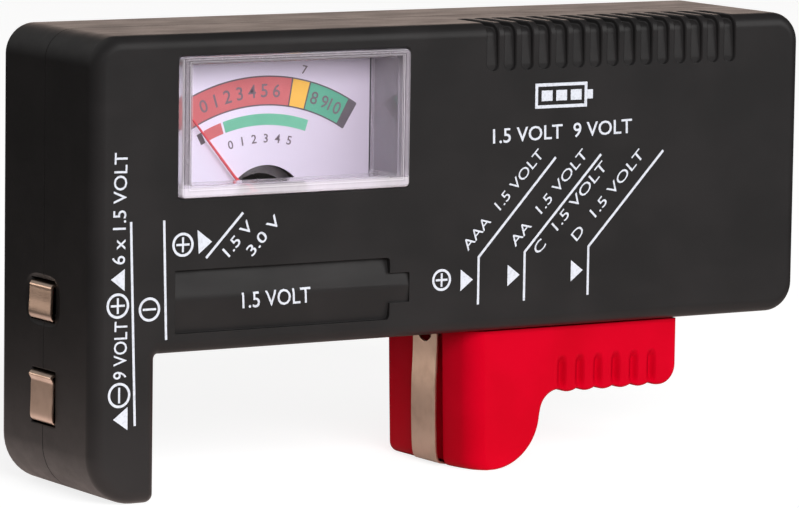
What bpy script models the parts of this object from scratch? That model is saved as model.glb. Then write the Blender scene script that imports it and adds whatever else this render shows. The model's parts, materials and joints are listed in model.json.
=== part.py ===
"""Hand-held analogue battery tester, modelled as the separate pieces it is assembled from.

Sizes are millimetres in the constants and metres in the meshes. Every piece is modelled in the corner
frame of the case: x from the left end, y from the front face towards the back, z from the surface the
tester stands on. The empty "case_corner" carries that frame, so that the world origin is at the bottom
centre of the whole object.
"""

import math

import bmesh
import bpy
from mathutils import Vector

MM = 0.001
GAP = 0.3

# Case: a flat block with a leg under its left end, split front from back along one plane.
CASE_WIDTH = 109.0
CASE_DEPTH = 25.4
CASE_HEIGHT = 60.0
BODY_BOTTOM = 19.1
LEG_WIDTH = 9.5
WALL = 1.8
SEAM_Y = 13.3
CORNER_RADIUS = 4.0
LEG_TOE_RADIUS = 6.5
LEG_INNER_RADIUS = 1.2
CROTCH_RADIUS = 0.6
FRONT_FILLET = 1.8
BACK_FILLET = 1.5
TONGUE_INSET = 1.05
TONGUE_LENGTH = 1.3
REBATE_INSET = 0.7
REBATE_LENGTH = 1.6
MID_Y = CASE_DEPTH / 2

# Case screws, driven from the back into posts of the front shell.
SCREW_PLACES = ((6.3, 53.5), (103.0, 54.0), (103.0, 31.0), (4.9, 5.2))
FRONT_POST_RADIUS = 2.5
REAR_POST_RADIUS = 3.2
POST_BORE = 1.4
POST_BORE_FRONT_Y = 3.4
REAR_BORE = 1.5
HEAD_RECESS_RADIUS = 2.4
HEAD_SEAT_Y = 20.0
HEAD_RADIUS = 2.1
HEAD_HEIGHT = 1.7
SHANK_RADIUS = 1.1
SHANK_TIP_Y = 5.0

# Meter window in the front face.
WINDOW_LEFT = 12.4
WINDOW_RIGHT = 46.3
WINDOW_BOTTOM = 39.1
WINDOW_TOP = 57.1
WINDOW_PROUD = 0.8
COVER_BACK_Y = 7.7
COVER_FRONT_WALL = 1.2
COVER_SIDE_WALL = 1.3
COVER_FLOOR_END_Y = 5.4
DIAL_Y = 8.0
DIAL_THICKNESS = 0.4
DIAL_BOTTOM = 33.0
METER_BASE_Y = 8.7
METER_BASE_BACK_Y = 18.0
METER_BASE_BOTTOM = 28.6

# Moving-coil movement on its pivot, which runs front to back.
PIVOT_X = (WINDOW_LEFT + WINDOW_RIGHT) / 2
PIVOT_Z = 35.7
NEEDLE_REST_ANGLE = math.radians(-43.5)
NEEDLE_LENGTH = 17.2
NEEDLE_TAIL = 3.8
NEEDLE_Y = 6.8
NEEDLE_THICKNESS = 0.35
HUB_RADIUS = 1.3
DIAL_ARCH_RADIUS = 6.2
CORE_RADIUS = 3.1
COIL_INNER = 3.5
COIL_OUTER = 4.5
RING_INNER = 5.0
RING_OUTER = 6.3
POCKET_RADIUS = 6.7
CORE_FRONT_Y = 10.4
CORE_BACK_Y = 14.6
COIL_CLEARANCE = 0.9
COIL_SHOULDER = 0.35
COIL_THICKNESS = 0.5
COIL_HALF_WIDTH = 1.1
STAFF_ENDS_Y = (5.1, 16.7)
STAFF_RADIUS = 0.35
STAFF_TIP_RADIUS = 0.15
STAFF_TIP_LENGTH = 0.3
SPRING_TURNS = 3.5
SPRING_INNER = 0.85
SPRING_OUTER = 2.85
SPRING_THICKNESS = 0.12
SPRING_DEPTH = 0.3
BRIDGE_Y = (3.4, 4.2)
BRIDGE_HALF_LENGTH = 8.7
BRIDGE_HALF_HEIGHT = 1.7
BRIDGE_FOOT = 1.3
JEWEL_RADIUS = 0.9
REAR_JEWEL_RADIUS = 0.95

# Sunk battery-shaped relief under the window, with a ridge along its middle.
RELIEF_LEFT = 11.9
RELIEF_RIGHT = 43.9
RELIEF_TIP = 46.9
RELIEF_BOTTOM = 21.7
RELIEF_TOP = 29.85
RELIEF_RIDGE_Z = 26.1
RELIEF_RIDGE_DEPTH = 0.1
RELIEF_EDGE_DEPTH = 0.9
RELIEF_TIP_BOTTOM = 23.9
RELIEF_TIP_TOP = 27.8

# Finger-grip slots that run over the front top edge.
SLOT_COUNT = 15
SLOT_FIRST_X = 59.3
SLOT_PITCH = 2.704
SLOT_WIDTH = 1.7
SLOT_DEPTH = 0.7
SLOT_LOW_Z = 53.7
SLOT_BACK_Y = 8.0
SLOT_END_SHARE = 0.45

# Spring contacts.
STRIP_THICKNESS = 0.35
STRIP_WIDTH = 6.0
STRIP_OPENING = 3.35
CONTACT_PROUD = 0.8
LEAF_MID_Y = 13.2
SLIDER_STRIP_MID_Y = 12.2
UPPER_OPENING = (22.4, 27.9)
LOWER_OPENING = (9.0, 16.2)
CELL_OPENING = (8.3, 16.3)
DISH_CENTRE_Z = 25.4
DISH_HALF_WIDTH = 6.8
DISH_HALF_HEIGHT = 4.6
DISH_DEPTH = 0.7

# Thumb slider under the body.
SLIDER_LEFT = 57.1
SLIDER_RIGHT = 91.1
SLIDER_FRONT_Y = 2.4
SLIDER_BACK_Y = 22.6
SLIDER_BOTTOM = 0.25
SLIDER_TAIL_BOTTOM = 10.35
SLIDER_DRAFT = 0.45
SLIDER_FRONT_ROUND = 4.6
SLIDER_BACK_ROUND = 1.0
SLIDER_FILLET = 1.2
SLIDER_TOE = 1.6
HEEL_RADIUS = 7.4
HOOK_RADIUS = 3.0
LOBE_COUNT = 6
LOBE_PITCH = 2.89
LOBE_SAG = 0.38
LOBE_FIRST_X = 73.8
FLUTE_TOP = 15.0
FLUTE_DEPTH = 0.4
FLUTE_HALF_WIDTH = 1.25
NECK_LEFT = 60.5
NECK_RIGHT = 88.0
NECK_HALF_DEPTH = 3.5
FLANGE_HALF_DEPTH = 6.2
FLANGE_BOTTOM = 21.2
FLANGE_TOP = 22.6
TRACK_LEFT = 10.9
TRACK_RIGHT = 104.9
TRACK_HALF_DEPTH = 3.8

# Contact rail above the slider track.
RAIL_LEFT = 12.5
RAIL_RIGHT = 105.5
RAIL_Z = 25.2
RAIL_THICKNESS = 0.4
RAIL_WIDTH = 4.0
WIRE_RADIUS = 0.55


def clear_scene():
    for obj in list(bpy.data.objects):
        bpy.data.objects.remove(obj)


def make_material(name, colour, roughness, metallic=0.0, transmission=0.0):
    material = bpy.data.materials.new(name)
    material.use_nodes = True
    shader = material.node_tree.nodes["Principled BSDF"]
    shader.inputs["Base Color"].default_value = (*colour, 1.0)
    shader.inputs["Roughness"].default_value = roughness
    shader.inputs["Metallic"].default_value = metallic
    shader.inputs["Transmission Weight"].default_value = transmission
    return material


def add_object(name, mesh, material=None):
    """Links a mesh to the scene in the corner frame, and shades its round faces smooth."""
    mesh.shade_smooth()
    mesh.set_sharp_from_angle(angle=math.radians(32))
    if material is not None:
        mesh.materials.append(material)
    obj = bpy.data.objects.new(name, mesh)
    bpy.context.scene.collection.objects.link(obj)
    obj.parent = bpy.data.objects["case_corner"]
    return obj


def skin(name, rings, material=None, closed=False):
    """Makes a solid from rings of equal length: capped at both ends, or joined into a loop when closed."""
    mesh_data = bmesh.new()
    rows = []
    for ring in rings:
        rows.append([mesh_data.verts.new(Vector(point) * MM) for point in ring])
    count = len(rows[0])
    spans = list(zip(rows, rows[1:]))
    if closed:
        spans.append((rows[-1], rows[0]))
    for low, high in spans:
        for i in range(count):
            j = (i + 1) % count
            mesh_data.faces.new((low[i], low[j], high[j], high[i]))
    if not closed:
        mesh_data.faces.new(rows[0])
        mesh_data.faces.new(rows[-1])
    bmesh.ops.recalc_face_normals(mesh_data, faces=mesh_data.faces)
    mesh = bpy.data.meshes.new(name)
    mesh_data.to_mesh(mesh)
    mesh_data.free()
    return add_object(name, mesh, material)


def hide_helper(obj):
    obj.hide_render = True
    obj.display_type = "WIRE"


def boolean(target, other, operation):
    """Adds a Boolean with another object, which becomes a hidden helper."""
    modifier = target.modifiers.new(f"{operation.lower()}_{other.name}", "BOOLEAN")
    modifier.operation = operation
    modifier.solver = "EXACT"
    modifier.object = other
    hide_helper(other)


def cut(target, *cutters):
    for cutter in cutters:
        boolean(target, cutter, "DIFFERENCE")


def join(target, *others):
    for other in others:
        boolean(target, other, "UNION")


def rounded_outline(corners, inset=0.0, steps=4, smallest=0.05):
    """Points of a right-angled outline, listed anticlockwise as (x, z, radius), moved inwards by inset."""
    points = []
    count = len(corners)
    for i, (x, z, radius) in enumerate(corners):
        here = Vector((x, z))
        before = Vector(corners[i - 1][:2])
        after = Vector(corners[(i + 1) % count][:2])
        arriving = (here - before).normalized()
        leaving = (after - here).normalized()
        inward = Vector((-arriving.y, arriving.x)) + Vector((-leaving.y, leaving.x))
        turns_left = arriving.x * leaving.y - arriving.y * leaving.x > 0
        if turns_left:
            radius = max(radius - inset, smallest)
        else:
            radius = radius + inset
        centre = here + inward * inset + (leaving - arriving) * radius
        for step in range(steps + 1):
            angle = math.pi / 2 * step / steps
            offset = arriving * math.sin(angle) - leaving * math.cos(angle)
            points.append(centre + offset * radius)
    return points


def at_depth(outline, y):
    return [(point[0], y, point[1]) for point in outline]


def rectangle(left, right, bottom, top, radius=0.05):
    return ((left, bottom, radius), (right, bottom, radius), (right, top, radius), (left, top, radius))


def box(name, x_range, y_range, z_range, material=None):
    left, right = x_range
    bottom, top = z_range
    corners = ((left, bottom), (right, bottom), (right, top), (left, top))
    return skin(name, [at_depth(corners, y) for y in y_range], material)


def circle_y(x, z, radius, y, count=16):
    ring = []
    for i in range(count):
        angle = math.tau * i / count
        ring.append((x + radius * math.cos(angle), y, z + radius * math.sin(angle)))
    return ring


def turned_y(name, x, z, profile, material=None, count=16):
    """A solid of revolution about a front-to-back axis, from (y, radius) pairs."""
    return skin(name, [circle_y(x, z, radius, y, count) for y, radius in profile], material)


def tube_y(name, x, z, inner, outer, y_range, material=None, count=20):
    """A plain tube about a front-to-back axis."""
    sections = []
    for i in range(count):
        angle = math.tau * i / count
        across = Vector((math.cos(angle), 0, math.sin(angle)))
        middle = Vector((x, 0, z))
        section = []
        for y, radii in ((y_range[0], (inner, outer)), (y_range[1], (outer, inner))):
            for radius in radii:
                section.append(middle + across * radius + Vector((0, y, 0)))
        sections.append(section)
    return skin(name, sections, material, closed=True)


def smooth_path(points, steps=3):
    """A Catmull-Rom curve through the given 2-D points."""
    path = []
    padded = [points[0], *points, points[-1]]
    for i in range(1, len(padded) - 2):
        a, b, c, d = (Vector(p) for p in padded[i - 1 : i + 3])
        for step in range(steps):
            t = step / steps
            squared = (2 * a - 5 * b + 4 * c - d) * t**2
            cubed = (3 * b - a - 3 * c + d) * t**3
            path.append(0.5 * (2 * b + (c - a) * t + squared + cubed))
    path.append(Vector(points[-1]))
    return path


def ribbon(name, path, y_range, material, thickness=STRIP_THICKNESS):
    """A bent metal strip: a path in x and z, given a thickness and extruded across its width."""
    left = []
    right = []
    for i, point in enumerate(path):
        direction = (path[min(i + 1, len(path) - 1)] - path[max(i - 1, 0)]).normalized()
        across = Vector((-direction.y, direction.x)) * thickness / 2
        left.append(point + across)
        right.append(point - across)
    outline = left + right[::-1]
    return skin(name, [at_depth(outline, y) for y in y_range], material)


def wire(name, points, material):
    """An insulated wire as a round curve drawn by the given points, with closed ends."""
    curve = bpy.data.curves.new(name, "CURVE")
    curve.dimensions = "3D"
    curve.bevel_depth = WIRE_RADIUS * MM
    curve.bevel_resolution = 1
    curve.resolution_u = 4
    curve.use_fill_caps = True
    spline = curve.splines.new("NURBS")
    spline.points.add(len(points) - 1)
    for target, point in zip(spline.points, points):
        target.co = (*(Vector(point) * MM), 1.0)
    spline.use_endpoint_u = True
    spline.order_u = 3
    curve.materials.append(material)
    obj = bpy.data.objects.new(name, curve)
    bpy.context.scene.collection.objects.link(obj)
    obj.parent = bpy.data.objects["case_corner"]
    return obj


def case_corners():
    return (
        (0.0, 0.0, LEG_TOE_RADIUS),
        (LEG_WIDTH, 0.0, LEG_INNER_RADIUS),
        (LEG_WIDTH, BODY_BOTTOM, CROTCH_RADIUS),
        (CASE_WIDTH, BODY_BOTTOM, CORNER_RADIUS),
        (CASE_WIDTH, CASE_HEIGHT, CORNER_RADIUS),
        (0.0, CASE_HEIGHT, CORNER_RADIUS),
    )


def case_ring(inset, y):
    return at_depth(rounded_outline(case_corners(), inset), y)


def case_prism(name, inset, y_range, material=None):
    return skin(name, [case_ring(inset, y) for y in y_range], material)


def filleted_case(name, face_y, seam_y, fillet, material):
    """One half of the case, solid, with a rounded edge around its outer face."""
    steps = 4
    inwards = 1 if seam_y > face_y else -1
    rings = []
    for step in range(steps + 1):
        angle = math.pi / 2 * step / steps
        inset = fillet * (1 - math.sin(angle))
        rings.append(case_ring(inset, face_y + inwards * fillet * (1 - math.cos(angle))))
    rings.append(case_ring(0.0, seam_y))
    return skin(name, rings, material)


def wall_openings():
    """Cutters that cross the seam, so that both shells are cut by each of them."""
    leaf_y = (LEAF_MID_Y - STRIP_OPENING, LEAF_MID_Y + STRIP_OPENING)
    upper = box("upper_contact_opening", (-2, WALL + 0.5), leaf_y, UPPER_OPENING)
    lower = box("lower_contact_opening", (-2, WALL + 0.5), leaf_y, LOWER_OPENING)
    cell_y = (MID_Y - STRIP_OPENING, MID_Y + STRIP_OPENING)
    cell = box("cell_contact_opening", (LEG_WIDTH - WALL - 0.4, LEG_WIDTH + 2), cell_y, CELL_OPENING)
    track_y = (MID_Y - TRACK_HALF_DEPTH, MID_Y + TRACK_HALF_DEPTH)
    track_z = (BODY_BOTTOM - 1, BODY_BOTTOM + WALL + 0.6)
    track = box("slider_track", (TRACK_LEFT, TRACK_RIGHT), track_y, track_z)
    return upper, lower, cell, track, contact_dish()


def contact_dish():
    """Shallow oval hollow around the upper nine-volt contact."""
    rings = []
    for x, share in ((-1.0, 1.1), (0.0, 1.0), (DISH_DEPTH, 0.8)):
        ring = []
        for i in range(20):
            angle = math.tau * i / 20
            y = LEAF_MID_Y + share * DISH_HALF_WIDTH * math.cos(angle)
            z = DISH_CENTRE_Z + share * DISH_HALF_HEIGHT * math.sin(angle)
            ring.append((x, y, z))
        rings.append(ring)
    return skin("contact_dish", rings)


def relief_cutter(name, x_range, bottom, top):
    """Tool whose inner side leaves a ridged, battery-like surface at the bottom of the relief."""
    low_span = RELIEF_RIDGE_Z - RELIEF_BOTTOM
    high_span = RELIEF_TOP - RELIEF_RIDGE_Z
    rise = RELIEF_EDGE_DEPTH - RELIEF_RIDGE_DEPTH
    section = [(-1.0, bottom)]
    section.append((RELIEF_RIDGE_DEPTH + rise * (RELIEF_RIDGE_Z - bottom) / low_span, bottom))
    for share in (0.0, 0.35, 0.7, 1.0):
        z = RELIEF_RIDGE_Z + share * (top - RELIEF_RIDGE_Z)
        reach = (z - RELIEF_RIDGE_Z) / high_span
        section.append((RELIEF_RIDGE_DEPTH + rise * (0.45 * reach + 0.55 * reach**2), z))
    section.append((-1.0, top))
    rings = []
    for x in x_range:
        rings.append([(x, y, z) for y, z in section])
    return skin(name, rings)


def grip_cutter():
    """One tool for all the finger-grip slots: each a bent bar over the front top edge."""
    mesh_data = bmesh.new()
    depth = SLOT_DEPTH
    top = CASE_HEIGHT
    section = (
        (-1.0, SLOT_LOW_Z),
        (depth, SLOT_LOW_Z),
        (depth, top - FRONT_FILLET),
        (FRONT_FILLET, top - depth),
        (SLOT_BACK_Y, top - depth),
        (SLOT_BACK_Y, top + 1.0),
        (-1.0, top + 1.0),
    )
    for index in range(SLOT_COUNT):
        left = SLOT_FIRST_X - SLOT_WIDTH / 2 + index * SLOT_PITCH
        rows = []
        for x in (left, left + SLOT_WIDTH):
            rows.append([mesh_data.verts.new(Vector((x, y, z)) * MM) for y, z in section])
        count = len(section)
        for i in range(count):
            j = (i + 1) % count
            mesh_data.faces.new((rows[0][i], rows[0][j], rows[1][j], rows[1][i]))
        mesh_data.faces.new(rows[0])
        mesh_data.faces.new(rows[1])
    bmesh.ops.recalc_face_normals(mesh_data, faces=mesh_data.faces)
    ends = []
    for edge in mesh_data.edges:
        low, high = (vert.co / MM for vert in edge.verts)
        along_y = abs(low.z - high.z) < 0.01 and abs(low.x - high.x) < 0.01
        along_z = abs(low.y - high.y) < 0.01 and abs(low.x - high.x) < 0.01
        if along_y and abs(low.z - SLOT_LOW_Z) < 0.01 or along_z and abs(low.y - SLOT_BACK_Y) < 0.01:
            ends.append(edge)
    end_round = SLOT_WIDTH * SLOT_END_SHARE * MM
    bmesh.ops.bevel(mesh_data, geom=ends, offset=end_round, segments=3, profile=0.5, affect="EDGES")
    mesh = bpy.data.meshes.new("grip_slots")
    mesh_data.to_mesh(mesh)
    mesh_data.free()
    return add_object("grip_slots", mesh)


def front_shell(material, openings):
    shell = filleted_case("front_shell", 0.0, SEAM_Y - GAP / 2, FRONT_FILLET, material)
    join(shell, case_prism("front_tongue", TONGUE_INSET, (SEAM_Y - 1.0, SEAM_Y + TONGUE_LENGTH)))
    cut(shell, case_prism("front_cavity", WALL, (WALL, SEAM_Y + 4)))
    for index, (x, z) in enumerate(SCREW_PLACES, 1):
        profile = ((WALL - 0.4, FRONT_POST_RADIUS), (SEAM_Y - 0.5, FRONT_POST_RADIUS))
        join(shell, turned_y(f"front_post_{index}", x, z, profile))
        bore = ((POST_BORE_FRONT_Y, POST_BORE), (SEAM_Y + 1, POST_BORE))
        cut(shell, turned_y(f"front_bore_{index}", x, z, bore, count=12))
    window = (WINDOW_LEFT - GAP, WINDOW_RIGHT + GAP, WINDOW_BOTTOM - GAP, WINDOW_TOP + GAP)
    cut(shell, box("window_opening", window[:2], (-1, WALL + 1), window[2:]))
    cut(shell, relief_cutter("relief_barrel", (RELIEF_LEFT, RELIEF_RIGHT), RELIEF_BOTTOM, RELIEF_TOP))
    tip_x = (RELIEF_RIGHT - 1, RELIEF_TIP)
    cut(shell, relief_cutter("relief_tip", tip_x, RELIEF_TIP_BOTTOM, RELIEF_TIP_TOP))
    cut(shell, grip_cutter())
    cut(shell, *openings)
    return shell


def rear_shell(material, openings):
    shell = filleted_case("rear_shell", CASE_DEPTH, SEAM_Y + GAP / 2, BACK_FILLET, material)
    cut(shell, case_prism("rear_cavity", WALL, (SEAM_Y - 2, CASE_DEPTH - WALL)))
    cut(shell, case_prism("rear_rebate", REBATE_INSET, (SEAM_Y - 2, SEAM_Y + REBATE_LENGTH)))
    for index, (x, z) in enumerate(SCREW_PLACES, 1):
        profile = ((SEAM_Y - 0.2, FRONT_POST_RADIUS), (HEAD_SEAT_Y - 2.5, FRONT_POST_RADIUS),
                   (HEAD_SEAT_Y - 1.5, REAR_POST_RADIUS), (CASE_DEPTH - 1.0, REAR_POST_RADIUS))
        join(shell, turned_y(f"rear_post_{index}", x, z, profile))
        recess = ((SEAM_Y - 3, REAR_BORE), (HEAD_SEAT_Y, REAR_BORE),
                  (HEAD_SEAT_Y + 0.01, HEAD_RECESS_RADIUS), (CASE_DEPTH + 1, HEAD_RECESS_RADIUS))
        cut(shell, turned_y(f"rear_recess_{index}", x, z, recess))
    cut(shell, *openings)
    return shell


def case_screws(material):
    seat = HEAD_SEAT_Y + GAP
    profile = (
        (SHANK_TIP_Y, 0.4),
        (SHANK_TIP_Y + 1.2, SHANK_RADIUS),
        (seat, SHANK_RADIUS),
        (seat + 0.02, HEAD_RADIUS),
        (seat + HEAD_HEIGHT * 0.6, HEAD_RADIUS),
        (seat + HEAD_HEIGHT, HEAD_RADIUS * 0.6),
    )
    for index, (x, z) in enumerate(SCREW_PLACES, 1):
        turned_y(f"case_screw_{index}", x, z, profile, material, count=12)


def meter_cover(material):
    """Clear moulded box over the dial, open at the back, its floor cut short to let the needle through."""
    frame = rectangle(WINDOW_LEFT, WINDOW_RIGHT, WINDOW_BOTTOM, WINDOW_TOP, 0.8)
    rings = []
    for inset, y in ((0.3, -WINDOW_PROUD), (0.0, -WINDOW_PROUD + 0.3), (0.0, COVER_BACK_Y)):
        rings.append(at_depth(rounded_outline(frame, inset, steps=2), y))
    cover = skin("meter_cover", rings, material)
    inner_x = (WINDOW_LEFT + COVER_SIDE_WALL, WINDOW_RIGHT - COVER_SIDE_WALL)
    inner_z = (WINDOW_BOTTOM + COVER_SIDE_WALL, WINDOW_TOP - COVER_SIDE_WALL)
    cut(cover, box("cover_hollow", inner_x, (COVER_FRONT_WALL - WINDOW_PROUD, COVER_BACK_Y + 1), inner_z))
    notch_x = (inner_x[0] + 0.1, inner_x[1] - 0.1)
    notch_y = (COVER_FLOOR_END_Y, COVER_BACK_Y + 1)
    notch_z = (WINDOW_BOTTOM - 1, WINDOW_BOTTOM + COVER_SIDE_WALL + 0.2)
    cut(cover, box("cover_floor_notch", notch_x, notch_y, notch_z))
    return cover


def dial_plate(material):
    inset = COVER_SIDE_WALL + GAP
    outline = rectangle(WINDOW_LEFT + inset, WINDOW_RIGHT - inset, DIAL_BOTTOM, WINDOW_TOP - inset, 0.4)
    ys = (DIAL_Y, DIAL_Y + DIAL_THICKNESS)
    plate = skin("dial_plate", [at_depth(rounded_outline(outline, steps=2), y) for y in ys], material)
    arch = []
    for i in range(13):
        angle = math.pi * i / 12
        x = PIVOT_X + DIAL_ARCH_RADIUS * math.cos(angle)
        z = PIVOT_Z + DIAL_ARCH_RADIUS * math.sin(angle)
        arch.append((x, z))
    arch.append((PIVOT_X - DIAL_ARCH_RADIUS, DIAL_BOTTOM - 1))
    arch.append((PIVOT_X + DIAL_ARCH_RADIUS, DIAL_BOTTOM - 1))
    cut(plate, skin("dial_arch", [at_depth(arch, y) for y in (DIAL_Y - 1, DIAL_Y + 1.5)]))
    return plate


def meter_base(material):
    """Moulded body of the meter, with a round pocket for the magnet system."""
    base_y = (METER_BASE_Y, METER_BASE_BACK_Y)
    base_z = (METER_BASE_BOTTOM, WINDOW_TOP)
    base = box("meter_base", (WINDOW_LEFT, WINDOW_RIGHT), base_y, base_z, material)
    pocket = ((METER_BASE_Y - 1, POCKET_RADIUS), (METER_BASE_BACK_Y - 1.4, POCKET_RADIUS))
    cut(base, turned_y("movement_pocket", PIVOT_X, PIVOT_Z, pocket, count=24))
    bore = ((METER_BASE_BACK_Y - 3, 1.3), (METER_BASE_BACK_Y + 1, 1.3))
    cut(base, turned_y("rear_jewel_bore", PIVOT_X, PIVOT_Z, bore, count=12))
    return base


def needle(material):
    """Pointer, hub and tail in one, standing at its zero stop on the left."""
    half_root = 0.55
    half_tip = 0.16
    hub = math.asin(half_root / HUB_RADIUS)
    outline = [(-half_tip, NEEDLE_LENGTH), (half_tip, NEEDLE_LENGTH)]
    outline += hub_arc(math.pi / 2 - hub, -math.pi / 2 + hub)
    outline += [(half_root, -NEEDLE_TAIL), (-half_root, -NEEDLE_TAIL)]
    outline += hub_arc(-math.pi / 2 - hub, -3 * math.pi / 2 + hub)
    outline = [(-x, z) for x, z in outline]
    points = []
    for x, z in outline:
        turned_x = x * math.cos(NEEDLE_REST_ANGLE) + z * math.sin(NEEDLE_REST_ANGLE)
        turned_z = z * math.cos(NEEDLE_REST_ANGLE) - x * math.sin(NEEDLE_REST_ANGLE)
        points.append((turned_x, turned_z))
    rings = [at_depth(points, y) for y in (0.0, NEEDLE_THICKNESS)]
    pointer = skin("needle", rings, material)
    cut(pointer, turned_y("needle_bore", 0.0, 0.0, ((-1, 0.65), (2, 0.65)), count=12))
    place_on_pivot(pointer, NEEDLE_Y)
    return pointer


def hub_arc(start, end, steps=5):
    arc = []
    for step in range(steps + 1):
        angle = start + (end - start) * step / steps
        arc.append((HUB_RADIUS * math.cos(angle), HUB_RADIUS * math.sin(angle)))
    return arc


def place_on_pivot(obj, y):
    obj.location = Vector((PIVOT_X, y, PIVOT_Z)) * MM
    for modifier in obj.modifiers:
        modifier.object.location = obj.location


def moving_coil(material):
    """Copper-wound rectangular frame that turns around the core magnet."""
    front_y = CORE_FRONT_Y - COIL_CLEARANCE
    back_y = CORE_BACK_Y + COIL_CLEARANCE
    corners = ((1, front_y, -1), (1, back_y, 1), (-1, back_y, 1), (-1, front_y, -1))
    sections = []
    for side, y, outwards in corners:
        inner = (side * COIL_INNER, y + outwards * (COIL_SHOULDER - COIL_THICKNESS))
        outer = (side * COIL_OUTER, y + outwards * COIL_SHOULDER)
        section = []
        for (x, depth), half in ((inner, -1), (outer, -1), (outer, 1), (inner, 1)):
            section.append((x, depth, half * COIL_HALF_WIDTH))
        sections.append(section)
    coil = skin("moving_coil", sections, material, closed=True)
    place_on_pivot(coil, 0.0)
    return coil


def pivot_staffs(material):
    coil_front = CORE_FRONT_Y - COIL_CLEARANCE - COIL_SHOULDER
    coil_back = CORE_BACK_Y + COIL_CLEARANCE + COIL_SHOULDER
    front_y, rear_y = STAFF_ENDS_Y
    front_profile = (
        (front_y, STAFF_TIP_RADIUS),
        (front_y + STAFF_TIP_LENGTH, STAFF_RADIUS),
        (coil_front - GAP, STAFF_RADIUS),
    )
    rear_profile = (
        (coil_back + GAP, STAFF_RADIUS),
        (rear_y - STAFF_TIP_LENGTH, STAFF_RADIUS),
        (rear_y, STAFF_TIP_RADIUS),
    )
    for name, profile in (("pivot_staff_front", front_profile), ("pivot_staff_rear", rear_profile)):
        staff = turned_y(name, 0.0, 0.0, profile, material, count=8)
        place_on_pivot(staff, 0.0)


def spiral_spring(name, y, material):
    """Flat hairspring between the movement and its bridge."""
    steps = int(SPRING_TURNS * 14)
    half = SPRING_THICKNESS / 2
    sections = []
    for i in range(steps + 1):
        share = i / steps
        angle = math.tau * SPRING_TURNS * share
        radius = SPRING_INNER + (SPRING_OUTER - SPRING_INNER) * share
        across = Vector((math.cos(angle), 0, math.sin(angle)))
        middle = Vector((PIVOT_X, 0, PIVOT_Z))
        section = []
        back_y = y + SPRING_DEPTH
        for offset, depth in ((-half, y), (half, y), (half, back_y), (-half, back_y)):
            section.append(middle + across * (radius + offset) + Vector((0, depth, 0)))
        sections.append(section)
    return skin(name, sections, material)


def magnet_system(magnet, iron, brass):
    core = ((CORE_FRONT_Y, CORE_RADIUS), (CORE_BACK_Y, CORE_RADIUS))
    turned_y("core_magnet", PIVOT_X, PIVOT_Z, core, magnet, count=24)
    ring_y = (METER_BASE_Y + 1.0, METER_BASE_BACK_Y - 1.4 - GAP)
    tube_y("return_ring", PIVOT_X, PIVOT_Z, RING_INNER, RING_OUTER, ring_y, iron, count=28)
    front_bridge(brass)
    front_jewel = ((2.9, JEWEL_RADIUS), (4.8, JEWEL_RADIUS))
    turned_y("jewel_screw_front", PIVOT_X, PIVOT_Z, front_jewel, brass, count=12)
    rear_jewel_y = (METER_BASE_BACK_Y - 1.0, METER_BASE_BACK_Y + 0.6)
    rear_jewel = [(y, REAR_JEWEL_RADIUS) for y in rear_jewel_y]
    turned_y("jewel_screw_rear", PIVOT_X, PIVOT_Z, rear_jewel, brass, count=12)


def front_bridge(brass):
    """Bar across the front of the movement that holds the front jewel, on two feet."""
    reach = BRIDGE_HALF_LENGTH
    half = BRIDGE_HALF_HEIGHT
    bar_z = (PIVOT_Z - half, PIVOT_Z + half)
    bridge = box("front_bridge", (PIVOT_X - reach, PIVOT_X + reach), BRIDGE_Y, bar_z, brass)
    foot_y = (BRIDGE_Y[1] - 0.4, DIAL_Y - GAP)
    foot_z = (bar_z[0] + 0.1, bar_z[1] - 0.1)
    left_foot = box("bridge_left_foot", (PIVOT_X - reach, PIVOT_X - reach + BRIDGE_FOOT), foot_y, foot_z)
    right_foot = box("bridge_right_foot", (PIVOT_X + reach - BRIDGE_FOOT, PIVOT_X + reach), foot_y, foot_z)
    join(bridge, left_foot)
    join(bridge, right_foot)
    cut(bridge, turned_y("bridge_bore", PIVOT_X, PIVOT_Z, ((2, 1.2), (5, 1.2)), count=12))


def meter_terminals(material):
    for name, x in (("meter_terminal_negative", 20.0), ("meter_terminal_positive", 38.7)):
        y_range = (METER_BASE_BACK_Y + GAP, METER_BASE_BACK_Y + GAP + 0.5)
        z_range = (METER_BASE_BOTTOM + 1, METER_BASE_BOTTOM + 7)
        tab = box(name, (x - 1.3, x + 1.3), y_range, z_range, material)
        hole = ((y_range[0] - 1, 0.6), (y_range[1] + 1, 0.6))
        cut(tab, turned_y(f"{name}_eye", x, METER_BASE_BOTTOM + 2.6, hole, count=8))


def strip_range(middle_y=MID_Y):
    return (middle_y - STRIP_WIDTH / 2, middle_y + STRIP_WIDTH / 2)


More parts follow.
